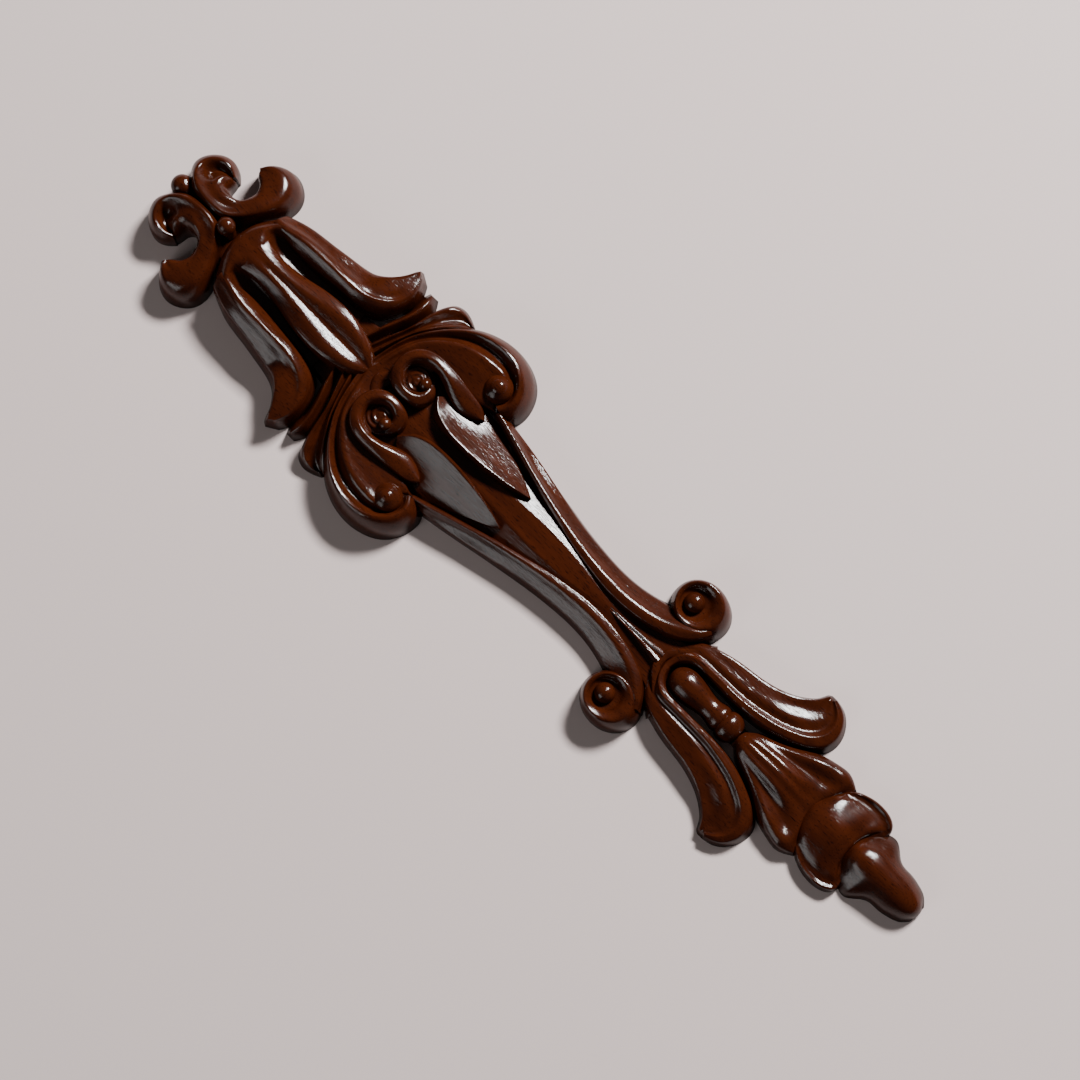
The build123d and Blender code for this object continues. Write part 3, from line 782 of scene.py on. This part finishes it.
@dataclass
class SnailLeaves:
    """Two leaves that roll up like snails, the saddle between them and the spear leaves."""

    bead_centre: Point = (8.2, 57.0, 9.0)
    bead_radius: float = 1.9
    band_outer_foot: Line = (
        (13.2, 37.8, 4), (15.4, 40.4, 4), (16.4, 45, 4), (17, 49, 4), (17.4, 53, 4), (17.6, 58, 4),
        (16.6, 63.2, 4), (13.2, 67.3, 4), (8, 68.6, 4), (3.1, 67, 4), (0.4, 62.9, 4), (0.2, 58, 4),
        (1.5, 54, 4), (5, 52.1, 4), (8.5, 52.6, 4), (10.8, 54.6, 4))
    band_outer_top: Line = (
        (13, 38, 7.4), (14.9, 40.6, 8), (15.8, 45, 9), (16.4, 49, 9.8), (16.8, 53, 10.4), (17, 58, 10.8),
        (16.1, 62.8, 11), (12.9, 66.5, 11.2), (8, 67.8, 11.2), (3.5, 66.4, 11), (0.9, 62.6, 10.8),
        (0.7, 58.2, 10.4), (1.9, 54.5, 9.8), (5, 52.8, 9), (8.2, 53.3, 8.4), (10.2, 55, 8))
    band_crest: Line = (
        (12.4, 38.8, 7.6), (12, 41.6, 8.2), (11.6, 45, 9), (12.4, 49, 10.2), (13.7, 53, 11.2),
        (14.4, 57.8, 11.7), (13.7, 61.6, 11.9), (11.4, 64.4, 12), (8, 65.4, 12), (5, 64.2, 11.9),
        (3.2, 61.8, 11.6), (2.9, 58.9, 11.2), (3.8, 56.6, 10.6), (5.6, 55.3, 10), (7.6, 55.4, 9.4),
        (9, 56.4, 8.8))
    band_inner_top: Line = (
        (12, 39, 7.2), (10.7, 41.6, 7.4), (9.8, 45, 7.8), (10.8, 49.2, 9), (12.6, 53.2, 10.2),
        (13.5, 57.7, 10.8), (12.9, 61.1, 11), (10.9, 63.6, 11.1), (8, 64.5, 11.1), (5.6, 63.4, 11),
        (4, 61.3, 10.7), (3.7, 59.2, 10.3), (4.5, 57.4, 9.8), (5.9, 56.3, 9.2), (7.4, 56.4, 8.7),
        (8.5, 57.2, 8.2))
    band_inner_foot: Line = (
        (11.8, 39.2, 4), (10.3, 41.7, 4), (9.3, 45.1, 4), (10.2, 49.5, 4), (12, 53.4, 5),
        (12.8, 57.6, 6), (12.3, 60.7, 6), (10.5, 62.9, 6), (8, 63.7, 6), (5.9, 62.8, 6), (4.5, 61, 6),
        (4.2, 59.4, 6), (4.9, 57.9, 6), (6.1, 56.9, 6), (7.2, 56.9, 6), (8, 57.6, 6))
    spear_foot: Line = (
        (6.6, 52.6, 4.4), (3.3, 49.6, 4.4), (1.5, 45.8, 4.4), (0.8, 41, 4.4), (0.7, 36, 4.4),
        (1.2, 30, 4.4), (2.2, 24, 4.4), (3.6, 18, 4.4), (5, 13.8, 4.4), (6.1, 11.6, 4.4))
    spear_arris: Line = (
        (8.2, 52, 9.2), (5.2, 48.9, 10), (3.6, 45.4, 10.7), (2.8, 41, 11.1), (2.6, 36, 11.2),
        (2.9, 30, 11), (3.6, 24, 10.4), (4.6, 18, 9.6), (5.6, 14, 8.8), (6.2, 12.2, 8))
    spear_slope: Line = (
        (10, 50.6, 7.8), (9, 47.6, 7.6), (8.5, 44.2, 7.5), (8.4, 40, 7.3), (8.6, 35.8, 7.2),
        (8.2, 30, 7.5), (7.4, 24.4, 7.8), (6.9, 18.8, 8), (6.6, 14.6, 8), (6.3, 12.2, 7.8))
    spear_outer: Line = (
        (12.4, 49, 6.2), (13.4, 46, 5.6), (14.2, 43, 5), (15, 39.6, 4.4), (15, 35.6, 3.6),
        (13.8, 30.4, 3.8), (11.8, 24.8, 4.9), (9.6, 19.2, 6.2), (7.8, 15, 7.1), (6.4, 12.1, 7.4))
    spear_outer_foot: Line = (
        (12.6, 49, 3), (13.6, 46, 3), (14.4, 43, 3), (15.2, 39.4, 3), (15.8, 35.6, 3), (14.6, 30.4, 3),
        (12.4, 24.8, 3.4), (10, 19.2, 4), (8, 14.6, 4), (6.5, 11.6, 4))
    saddle_back: Line = (
        (0, 70.6, 6.6), (2, 70, 6.6), (4.2, 68.6, 6.6))
    saddle_top: Line = (
        (0, 68.9, 8.3), (1.7, 68.4, 8.3), (3.6, 67.2, 8.2))
    saddle_front: Line = (
        (0, 67.2, 8), (1.4, 66.7, 8), (2.8, 65.6, 7.9))
    saddle_foot: Line = (
        (0, 65.4, 5), (0.9, 65, 5), (1.8, 64, 5))

    def band(self) -> Carving:
        """Return the right-hand rolled band with its tail."""
        lines = (
            self.band_outer_foot, self.band_outer_top, self.band_crest, self.band_inner_top,
            self.band_inner_foot)
        return Carving(lines, frozenset({1}), stations=150)

    def spear(self) -> Carving:
        """Return the right-hand spear leaf: a sharp inner arris and an outward slope."""
        lines = (
            self.spear_foot, self.spear_arris, self.spear_slope, self.spear_outer, self.spear_outer_foot)
        return Carving(lines, frozenset({1, 3}), stations=150, steps=20, soften=1)

    def saddle(self) -> Carving:
        """Return the small saddle between the rolled leaves."""
        lines = (self.saddle_back, self.saddle_top, self.saddle_front, self.saddle_foot)
        return Carving([through_centre(line) for line in lines], stations=40)

    def build(self, shop: Workshop) -> None:
        """Build the rolled leaves, the saddle and the spear leaves."""
        bead = ball(self.bead_centre, self.bead_radius, foot=6)
        shop.pair("snail_leaf", [self.band(), RolledHeart(), bead])
        shop.piece("saddle", [self.saddle()])
        shop.pair("spear_leaf", [self.spear()])


@dataclass
class Ground:
    """The sunk field between the rails, and the strip that backs the hanging pieces."""

    panel_centre: Line = (
        (0, 141, 4.4), (0, 110, 4.6), (0, 72, 5), (0, 56, 6), (0, 46, 7), (0, 30, 7.4), (0, 10, 7.6),
        (0, -8, 7.3), (0, -24, 6.2), (0, -50, 5))
    panel_arris: Line = (
        (3, 140, 4.4), (4, 110, 4.6), (4, 72, 5), (3.6, 56, 6), (2.4, 46, 7), (2.4, 30, 7.4),
        (3.5, 10, 7.6), (3.3, -8, 7.2), (1.4, -24, 6.1), (2, -50, 4.8))
    panel_side: Line = (
        (4.6, 139, 4.3), (9.6, 110, 4.4), (12, 76, 4.4), (16, 56, 4.2), (15, 42, 3.6), (13.4, 28, 3.6),
        (9.2, 10, 4.9), (5.6, -8, 6.2), (3.4, -24, 5.6), (8.6, -49.4, 4.4))
    panel_foot: Line = (
        (4.6, 139.2, 0), (10.4, 110, 0), (13, 76, 0), (18, 58, 0), (17, 42, 0), (14, 27, 0),
        (9.8, 10, 0), (6.4, -8, 0), (4.2, -24, 0), (9.2, -49.4, 0))

    def panel(self) -> Carving:
        """Return the ground panel with its flat middle and two sloping sides."""
        half = (self.panel_centre, self.panel_arris, self.panel_side, self.panel_foot)
        return Carving(both_halves(half), frozenset({1, 2, 4, 5}), stations=150, steps=14)

    def build(self, shop: Workshop) -> None:
        """Build the panel, and give the strip its finish."""
        shop.piece("ground_panel", [self.panel()], Slot.GROUND)
        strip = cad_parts["backing_strip"]
        strip.data.materials.clear()
        strip.data.materials.append(shop.materials[Slot.HIDDEN])


@dataclass
class WaistRails:
    """Waisted rails that end in lower volutes with a ball in each."""

    volute_centre: tuple[float, float] = (18.6, -43.9)
    volute_ovals: Sequence[tuple[float, float, float, float, float]] = (
        (-0.2, -1.2, 8.4, 9.7, 0), (0, -0.5, 7.5, 8.3, 5.6), (0, 0, 6.6, 7, 7.5),
        (-0.2, 0.8, 5.3, 5.4, 6.9), (-0.3, 1.3, 4.1, 4.2, 5.6), (-0.3, 1.5, 2.6, 2.6, 5.2))
    ball_centre: Point = (18.3, -42.3, 5.3)
    ball_radius: float = 3.1
    rail_foot: Line = (
        (16.4, 37, 4.4), (13.3, 26.6, 4), (10.6, 17.6, 3.6), (8.4, 9.6, 3), (6.6, 2, 3.2),
        (4.7, -6, 3.6), (3.5, -13, 3.8), (2.6, -20, 4), (2.4, -27, 4), (3.1, -34, 4), (4.8, -41.6, 3.6),
        (7.6, -47.4, 2), (11.2, -52, 0), (15, -54.3, 0))
    rail_shelf: Line = (
        (16.9, 36.8, 6.6), (13.9, 26.4, 6.8), (11.2, 17.4, 6.9), (8.9, 9.4, 7), (7.1, 2, 7),
        (5.2, -6, 7.2), (4, -13, 7.3), (3.1, -20, 7.3), (3, -27, 7.3), (3.7, -34, 7.3),
        (5.6, -41.3, 7.1), (8.3, -47.1, 6.9), (11.9, -50.6, 6.6), (15.2, -52.4, 6))
    rail_crest: Line = (
        (17.6, 36.5, 7.1), (14.7, 26, 7.3), (12, 17, 7.4), (9.8, 9, 7.5), (8.2, 2, 7.5), (6.8, -6, 7.6),
        (5.9, -13, 7.7), (5.3, -20, 7.7), (5.3, -27, 7.7), (6.1, -34, 7.7), (8, -41, 7.6),
        (10.4, -46.1, 7.6), (13, -49.2, 7.4), (15.8, -51.2, 6.4))
    rail_cove: Line = (
        (18.2, 36, 5.3), (15.9, 25.5, 5.6), (13.5, 16.4, 5.8), (11.7, 8.4, 6), (10.2, 1.4, 6.1),
        (8.9, -6.2, 6.1), (8, -13.2, 6.1), (7.6, -20, 6.1), (7.7, -27, 6), (8.7, -34, 6),
        (10.3, -40, 6.2), (11.9, -44, 6.6), (13.5, -48.2, 6.8), (16, -50.8, 5.8))
    rail_outer_edge: Line = (
        (18.9, 35.6, 3.8), (17.4, 25, 4.2), (15.7, 15.6, 4.4), (14, 7.6, 4.3), (12.5, 0.6, 4.2),
        (11.3, -6.6, 4.2), (10.6, -13.4, 4.1), (10.2, -20, 4.1), (10.5, -27, 3.9), (11.6, -33.2, 3.9),
        (12.6, -38.4, 4.6), (12.8, -42.6, 5.6), (13.8, -47, 6), (16.1, -50.3, 5.2))
    rail_outer_foot: Line = (
        (19.3, 34.6, 0), (17.7, 24.6, 0), (15.9, 15, 0), (14.4, 7, 0), (13.2, 0, 0), (12.1, -7, 0),
        (11.4, -13.6, 0), (11, -20, 0), (11.3, -27, 0), (12.4, -33, 0), (13.8, -37.8, 0), (14.2, -41, 2),
        (14, -46, 2.5), (16.3, -49.8, 2.5))

    def rail(self) -> Carving:
        """Return the right-hand rail: a fine crest and one wide outward cove."""
        lines = (
            self.rail_foot, self.rail_shelf, self.rail_crest, self.rail_cove, self.rail_outer_edge,
            self.rail_outer_foot)
        return Carving(lines, frozenset({1, 4}), stations=150, steps=10)

    def volute(self) -> Carving:
        """Return the ring of the volute as a closed run of circles and ovals."""
        turn = np.linspace(0.0, 2.0 * np.pi, 25)

        def oval(x: float, y: float, rx: float, ry: float, z: float) -> Line:
            """Return an oval about (x, y) at a height."""
            return [(x + rx * math.cos(a), y + ry * math.sin(a), z) for a in turn]

        x, y = self.volute_centre
        lines = [oval(x + dx, y + dy, rx, ry, z) for dx, dy, rx, ry, z in self.volute_ovals]
        return Carving(lines, stations=97, ring=True)

    def build(self, shop: Workshop) -> None:
        """Build the rails with their volutes, and the balls."""
        shop.pair("rail", [self.rail(), self.volute()])
        shop.pair("volute_ball", [ball(self.ball_centre, self.ball_radius, foot=2.6)], Slot.BEAD)


@dataclass
class StemAndCollar:
    """The reeded stem in the waist and the chevron collar below it."""

    stem_centre: Line = (
        (0, -22.8, 5.6), (0, -30, 6.1), (0, -38, 6.4), (0, -46.6, 6.5))
    stem_ridge: Line = (
        (0.12, -22.8, 5.7), (0.5, -30, 6.5), (0.75, -38, 6.9), (1.3, -46.6, 7))
    stem_foot: Line = (
        (0.3, -22.6, 4), (1.1, -30, 4), (1.5, -38, 4), (2.6, -46.4, 4))
    collar_upper_foot: Line = (
        (0, -44.6, 3), (2.6, -45.2, 3), (6, -47.6, 2), (10, -51.8, 0), (13.9, -54.5, 0),
        (14.8, -55.6, 0))
    collar_upper_edge: Line = (
        (0, -45.8, 6.2), (2.4, -46.2, 6.3), (5.7, -48.6, 6), (9.8, -52.6, 5), (13.2, -55.1, 3.6),
        (14.2, -55.9, 3))
    collar_middle: Line = (
        (0, -47, 6.3), (2, -47.3, 6.3), (4.8, -49.6, 5.9), (8.4, -53.6, 4.9), (11.6, -56.4, 3.7),
        (12.6, -57.1, 3))
    collar_lower_edge: Line = (
        (0, -48.1, 5.8), (1.8, -48.4, 5.8), (4.4, -50.6, 5.4), (7.6, -54.6, 4.5), (9.8, -57.8, 3.5),
        (10.6, -58.4, 2.8))
    collar_lower_foot: Line = (
        (0, -48.5, 4), (1.7, -48.8, 4), (4.2, -50.9, 3.4), (7.3, -54.9, 1.5), (9.4, -58.3, 0),
        (10.4, -59.1, 0))

    def stem(self) -> Carving:
        """Return the stem with its two fine ridges."""
        half = (self.stem_centre, self.stem_ridge, self.stem_foot)
        return Carving(both_halves(half), frozenset({1, 3}), stations=70)

    def collar(self) -> Carving:
        """Return the collar, from one tip through the centre to the other."""
        lines = (
            self.collar_upper_foot, self.collar_upper_edge, self.collar_middle, self.collar_lower_edge,
            self.collar_lower_foot)
        return Carving([through_centre(line) for line in lines], frozenset({1, 3}), stations=110)

    def build(self, shop: Workshop) -> None:
        """Build the stem and the collar."""
        shop.piece("stem", [self.stem()])
        shop.piece("collar", [self.collar()])


@dataclass
class Pendant:
    """Two long lower petals, the drop between them and its ball."""

    axis_height: float = 3.3
    drop: Sequence[tuple[float, float]] = (
        (-51.6, 0.05), (-52, 1.9), (-53.6, 3.8), (-56.2, 4.8), (-59, 4.8), (-62.4, 4.2), (-65.4, 3.6),
        (-68, 3.7), (-70, 4.2), (-71.4, 4), (-72.2, 3), (-72.4, 0.05))
    bulb: Sequence[tuple[float, float]] = (
        (-70.4, 0.05), (-70.9, 2.4), (-72, 4.2), (-74, 4.8), (-76, 4.3), (-77.4, 2.9), (-78, 0.05))
    petal_inner_foot: Line = (
        (0, -51.4, 2), (3, -52.2, 2), (4.8, -55, 2), (5.2, -60, 0), (5.1, -66, 0), (5, -72, 0),
        (5.5, -79, 0), (6.9, -85.6, 0), (9, -91.2, 0), (12, -96.6, 0), (16.4, -99.8, 0), (22, -99.1, 0),
        (26.4, -95.4, 0), (27.8, -91, 0))
    petal_rim_inner: Line = (
        (0, -50.2, 6), (3.3, -51.3, 6.3), (5.4, -54.2, 6.6), (5.9, -59.4, 6.8), (5.9, -65.4, 6.8),
        (5.9, -71.8, 6.7), (6.5, -78.8, 6.4), (7.9, -85.2, 5.9), (9.9, -90.5, 5.3), (12.6, -95, 4.6),
        (16.6, -97.8, 4), (21.2, -97.8, 3.5), (25.4, -95, 3.2), (27.3, -90.8, 3))
    petal_rim_outer: Line = (
        (0, -48.7, 6.2), (3.9, -49.8, 6.6), (6.8, -53, 7), (7.6, -58.8, 7.2), (7.6, -65, 7.2),
        (7.7, -71.6, 7.1), (8.6, -78.4, 6.9), (10, -84.4, 6.5), (11.9, -89, 6), (14.2, -92.7, 5.3),
        (17.3, -95, 4.8), (20.9, -95.4, 4.3), (24.3, -93.7, 3.9), (26.6, -90.3, 3.5))
    petal_groove: Line = (
        (0, -48.3, 5), (4.5, -49.2, 5.2), (7.9, -52.6, 5.4), (8.8, -58.5, 5.6), (8.9, -65, 5.6),
        (9.1, -71.4, 5.6), (10.1, -77.9, 5.4), (11.5, -83.6, 5), (13.3, -87.9, 4.5), (15.5, -91.3, 4),
        (18.2, -93.4, 3.6), (21.2, -93.9, 3.3), (24, -92.6, 3.1), (26.2, -90, 3))
    petal_rib: Line = (
        (0, -48.1, 4.4), (5.2, -48.8, 4.6), (9, -52.2, 5.2), (10.1, -58.3, 5.9), (10.3, -65, 6),
        (10.7, -71.2, 6), (11.9, -77.2, 5.9), (13.4, -82.4, 5.6), (15.2, -86.4, 5.1), (17.2, -89.4, 4.3),
        (19.5, -91.3, 3.7), (21.9, -91.9, 3.3), (24.1, -91.2, 3.1), (26, -89.6, 2.9))
    petal_slope: Line = (
        (0, -47.9, 4.2), (6, -48.3, 4.6), (10, -51.7, 5.1), (11.9, -58, 5.6), (12.6, -64.7, 5.6),
        (13.2, -70.7, 5.6), (14.6, -76.4, 5.4), (16.6, -81.1, 4.5), (18.5, -84.5, 3.7),
        (20.2, -87.1, 3.3), (21.9, -88.8, 3), (23.5, -89.5, 2.8), (24.8, -89.3, 2.8), (25.8, -88.8, 2.8))
    petal_outer_edge: Line = (
        (0, -47.8, 3), (6.6, -47.8, 3.4), (11, -51, 4.2), (13.8, -57.6, 5.3), (15.4, -64.4, 5.2),
        (16.2, -70.4, 5.1), (17.6, -76.4, 4.8), (19.8, -81.6, 3.9), (22, -84.8, 3.6), (23.6, -86.5, 3.4),
        (24.6, -87.2, 3.3), (25.4, -87.7, 3.2), (26, -88, 3.1), (26.6, -88.4, 3))
    petal_outer_foot: Line = (
        (0, -47.7, 0), (7, -47.6, 0), (11.6, -50.6, 0), (14.6, -57.4, 0), (16.2, -64.4, 0),
        (17, -70.6, 0), (18.5, -76.8, 0), (20.7, -81.8, 0), (22.8, -84.8, 0), (24.4, -86.4, 0),
        (25.6, -87.1, 0), (26.4, -87.5, 0), (27.2, -88, 0), (27.8, -89, 0))

    def petal(self) -> Carving:
        """Return the right-hand lower petal: two reeds and a spoon-shaped end."""
        lines = (
            self.petal_inner_foot, self.petal_rim_inner, self.petal_rim_outer, self.petal_groove,
            self.petal_rib, self.petal_slope, self.petal_outer_edge, self.petal_outer_foot)
        return Carving(lines, frozenset({1, 2, 6}), stations=160)

    def build(self, shop: Workshop) -> None:
        """Build the petals, the drop and the ball."""
        shop.pair("lower_petal", [self.petal()])
        shop.piece("pendant_drop", [LyingTurning(self.drop, self.axis_height)])
        shop.piece("pendant_ball", [LyingTurning(self.bulb, self.axis_height)], Slot.BEAD)


@dataclass
class HuskChain:
    """A three-lobed husk, a domed husk and the bud, each tucked under the one above."""

    upper_husk_spine: Line = (
        (0, -78, 4.6), (0, -80, 6.2), (0, -84, 6.9), (0, -90, 7.3), (0, -95, 7.3), (0, -99.5, 6.4),
        (0, -103, 5), (0, -106.6, 4), (0, -107, 3))
    upper_husk_flute: Line = (
        (0.6, -78.1, 4.6), (0.9, -80, 6.1), (1.1, -84, 6.6), (1.3, -90, 7), (1.4, -95, 7),
        (1.5, -99.6, 6.1), (1.6, -103.2, 4.8), (1.6, -106.8, 4), (1.6, -107.2, 3))
    upper_husk_bead: Line = (
        (1.2, -78.2, 4.5), (1.8, -80.2, 6), (2.2, -84.2, 6.7), (2.7, -90, 7.1), (2.9, -95.2, 7),
        (3.1, -99.8, 6.1), (3.6, -103.6, 4.9), (3.8, -107.3, 4.1), (3.8, -107.8, 3))
    upper_husk_hollow: Line = (
        (1.8, -78.4, 4.3), (2.8, -80.4, 5.4), (3.9, -84.6, 5.7), (5, -90.4, 5.4), (6.2, -96.4, 4.6),
        (7.4, -101.4, 4.1), (8.4, -105.2, 4), (8.8, -108.8, 4.2), (8.7, -109.9, 3))
    upper_husk_lobe: Line = (
        (2.2, -78.6, 4.2), (3.7, -80.8, 4.8), (5.2, -85, 5), (7.2, -90.8, 5.2), (9.4, -96.2, 5.6),
        (11, -100.4, 5.7), (12.2, -104.6, 5.1), (12.2, -109, 4.4), (11.2, -111, 3))
    upper_husk_edge: Line = (
        (2.6, -79, 3.4), (4.4, -81.1, 3.8), (6.2, -85.2, 3.8), (8.6, -91, 3.8), (11.2, -96, 4),
        (13, -99.9, 4), (14.1, -104.4, 3.8), (14, -109.2, 3.4), (12.6, -112, 2.6))
    upper_husk_foot: Line = (
        (2.8, -79, 0), (4.9, -81.2, 0), (6.8, -85.3, 0), (9.4, -91, 0), (12, -95.8, 0), (13.8, -99.8, 0),
        (14.9, -104.4, 0), (14.8, -109.4, 0), (12.9, -112.8, 0))
    lower_husk_spine: Line = (
        (0, -105.6, 3), (0, -107.4, 5.2), (0, -110.6, 6.7), (0, -114.6, 7.3), (0, -118, 7),
        (0, -120.6, 6), (0, -122.4, 4.6), (0, -122.8, 3))
    lower_husk_dome: Line = (
        (3.4, -106.2, 3), (3.6, -108, 5), (4.2, -110.8, 6.2), (5, -114.8, 6.2), (5.2, -118.4, 5.9),
        (5.2, -121, 5.2), (5.2, -122.9, 4.2), (5.2, -123.3, 3))
    lower_husk_flank: Line = (
        (6.4, -107.8, 2.8), (7, -109, 4.2), (8, -111.4, 4.9), (9.2, -115, 4.4), (9.6, -118.6, 4.1),
        (9.4, -121.8, 3.9), (9, -124.6, 3.6), (8.8, -125.4, 2.8))
    lower_husk_groove: Line = (
        (9.6, -110, 2.4), (10, -110.8, 3.1), (11.2, -112.8, 3.2), (12.5, -116, 2.8), (12.9, -119.6, 2.7),
        (12.5, -123, 2.7), (11.1, -125.9, 2.6), (10.6, -126.6, 2.3))
    lower_husk_rim: Line = (
        (10.2, -110.3, 2), (11, -111.2, 3), (12.2, -113, 3.4), (13.6, -116.4, 3.4), (14.1, -120, 3.4),
        (13.7, -123.8, 3.3), (12, -126.6, 3), (11, -127.3, 2.3))
    lower_husk_foot: Line = (
        (10.6, -110.4, 0), (11.6, -111.2, 0), (13, -113.1, 0), (14.5, -116.6, 0), (15.1, -120.2, 0),
        (14.6, -124.4, 0), (12.6, -127.3, 0), (11.2, -127.9, 0))
    bud_spine: Line = (
        (0, -121.6, 3), (0, -123, 5.6), (0, -126, 7.3), (0, -130, 7.7), (0, -135, 7.4), (0, -140, 7),
        (0, -144.4, 6), (0, -147.6, 4.2), (0, -149.2, 1.2))
    bud_shoulder: Line = (
        (2.2, -121.8, 3), (2.3, -123.4, 5.1), (2.5, -126.2, 6.7), (2.8, -130, 7), (2.5, -135, 6.8),
        (2.4, -140, 6.4), (2.3, -144.3, 5.5), (1.9, -147.4, 3.8), (1, -149.1, 1.1))
    bud_flank: Line = (
        (4.9, -122.7, 2.6), (5, -124.3, 3.6), (5.2, -126.9, 4.8), (5.8, -130.2, 4.9), (4.7, -135, 5.2),
        (4.4, -140, 4.9), (4.1, -144, 4.1), (3.3, -146.9, 2.8), (1.8, -148.9, 0.8))
    bud_edge: Line = (
        (7.6, -124.2, 1.6), (8.3, -126, 2), (9.3, -128.3, 2), (9.4, -130.9, 2.1), (6.9, -135.4, 2.5),
        (6.3, -140, 2.3), (5.6, -143.6, 1.9), (4.5, -146.6, 1.3), (2.4, -148.7, 0.4))
    bud_foot: Line = (
        (8.2, -124.4, 0), (9.5, -126, 0), (10.8, -128.4, 0), (10.8, -131.2, 0), (7.6, -135.6, 0),
        (7, -140, 0), (6.3, -143.7, 0), (5.1, -146.7, 0), (2.8, -148.9, 0))

    def upper_husk(self) -> Carving:
        """Return the three-lobed husk."""
        half = (
            self.upper_husk_spine, self.upper_husk_flute, self.upper_husk_bead, self.upper_husk_hollow,
            self.upper_husk_lobe, self.upper_husk_edge, self.upper_husk_foot)
        lines = both_halves(half)
        return Carving(lines, frozenset(), stations=130)

    def lower_husk(self) -> Carving:
        """Return the domed husk with its sunk rim."""
        half = (
            self.lower_husk_spine, self.lower_husk_dome, self.lower_husk_flank, self.lower_husk_groove,
            self.lower_husk_rim, self.lower_husk_foot)
        return Carving(both_halves(half), frozenset(), stations=110)

    def bud(self) -> Carving:
        """Return the closing bud."""
        half = (self.bud_spine, self.bud_shoulder, self.bud_flank, self.bud_edge, self.bud_foot)
        return Carving(both_halves(half), frozenset(), stations=110)

    def build(self, shop: Workshop) -> None:
        """Build the husks and the bud."""
        shop.piece("husk_upper", [self.upper_husk()])
        shop.piece("husk_lower", [self.lower_husk()])
        shop.piece("bud", [self.bud()])


# Studio --------------------------------------------------------------------------------


@dataclass(frozen=True)
class Lamp:
    """A flat lamp that faces the middle of the drop.

    The azimuth runs from +X towards +Y and the elevation up from the floor, in degrees.
    The distance is in metres, like the level and upright sides of size, and power in watts.
    """

    name: str
    azimuth: float
    elevation: float
    size: tuple[float, float]
    power: float
    distance: float = 1.5

    def hang(self) -> None:
        """Add the lamp to the scene."""
        data = bpy.data.lights.new(self.name, "AREA")
        data.shape = "RECTANGLE"
        data.size, data.size_y = self.size
        data.energy = self.power
        turn, rise = math.radians(self.azimuth), math.radians(self.elevation)
        level = np.array([math.cos(turn), math.sin(turn), 0.0])
        back = level * math.cos(rise) + np.array([0.0, 0.0, math.sin(rise)])
        aim(self.name, data, back * self.distance, back)


@dataclass
class Studio:
    """Pale floor, one small key light, one broad fill light and the camera."""

    key: Lamp = Lamp("key_lamp", azimuth=5.0, elevation=36.5, size=(0.42, 0.2), power=67.0)
    fill: Lamp = Lamp("fill_lamp", azimuth=173.0, elevation=25.0, size=(0.9, 0.6), power=7.2)
    sky_strength: float = 0.05
    floor_half: float = 2.5
    floor_level: float = -0.02 * MM
    tilt_deg: float = 9.2
    distance_mm: float = 750.0
    lens_mm: float = 86.33
    target_mm: Point = (0.5, 2.5, 0.0)
    floor_colour: tuple[float, float, float] = (0.6, 0.5, 0.48)

    def floor(self) -> None:
        """Lay the floor that the drop rests on."""
        half, level = self.floor_half, self.floor_level
        corners = [(-half, -half, level), (half, -half, level), (half, half, level), (-half, half, level)]
        mesh = bpy.data.meshes.new("studio_floor")
        mesh.from_pydata(corners, [], [(0, 1, 2, 3)])
        floor = bpy.data.objects.new("studio_floor", mesh)
        bpy.context.scene.collection.objects.link(floor)
        material = bpy.data.materials.new("studio_floor_paint")
        material.use_nodes = True
        shader = material.node_tree.nodes["Principled BSDF"]
        shader.inputs["Base Color"].default_value = (*self.floor_colour, 1.0)
        shader.inputs["Roughness"].default_value = 0.9
        shader.inputs["Specular IOR Level"].default_value = 0.2
        mesh.materials.append(material)

    def camera(self) -> None:
        """Set the camera above the drop, leaning a little towards its lower left."""
        tilt = math.radians(self.tilt_deg)
        lean = math.sin(tilt) / math.sqrt(2.0)
        back = np.array([-lean, -lean, math.cos(tilt)])
        data = bpy.data.cameras.new("studio_camera")
        data.lens = self.lens_mm
        data.sensor_width = 36.0
        data.clip_start = 0.05
        place = (np.array(self.target_mm) + back * self.distance_mm) * MM
        side = np.array([1.0, -1.0, 0.0]) / math.sqrt(2.0)
        bpy.context.scene.camera = aim("studio_camera", data, place, back, side)

    def build(self) -> None:
        """Build the floor, the lights, the sky and the camera."""
        self.floor()
        self.key.hang()
        self.fill.hang()
        world = bpy.data.worlds.new("studio_sky")
        world.use_nodes = True
        background = world.node_tree.nodes["Background"]
        background.inputs["Color"].default_value = (1.0, 1.0, 1.0, 1.0)
        background.inputs["Strength"].default_value = self.sky_strength
        bpy.context.scene.world = world
        self.camera()


def aim(
    name: str, data: bpy.types.ID, place: np.ndarray, back: np.ndarray, side: np.ndarray | None = None
) -> bpy.types.Object:
    """Place a lamp or camera so that its local +Z is a given direction.

    Args:
        name: name of the new object.
        data: lamp or camera.
        place: position in metres.
        back: unit vector that points away from what it faces.
        side: unit vector for its local +X, or level if none is given.

    Returns:
        The new object.
    """
    if side is None:
        side = np.cross([0.0, 0.0, 1.0], back)
        side = side / np.linalg.norm(side)
    up = np.cross(back, side)
    matrix = np.eye(4)
    matrix[:3, 0], matrix[:3, 1], matrix[:3, 2], matrix[:3, 3] = side, up, back, place
    made = bpy.data.objects.new(name, data)
    bpy.context.scene.collection.objects.link(made)
    made.matrix_world = Matrix(matrix.tolist())
    return made


def main() -> None:
    """Build the pieces in order, then the studio."""
    logging.basicConfig(level=logging.INFO, format="%(name)s: %(message)s")
    shop = Workshop()
    shop.prepare()
    for group in (Ground(), Crest(), Bell(), Fans(), BigScrolls(), SnailLeaves(), WaistRails(),
                  StemAndCollar(), Pendant(), HuskChain()):
        group.build(shop)
    Studio().build()


if __name__ == "__main__":
    main()
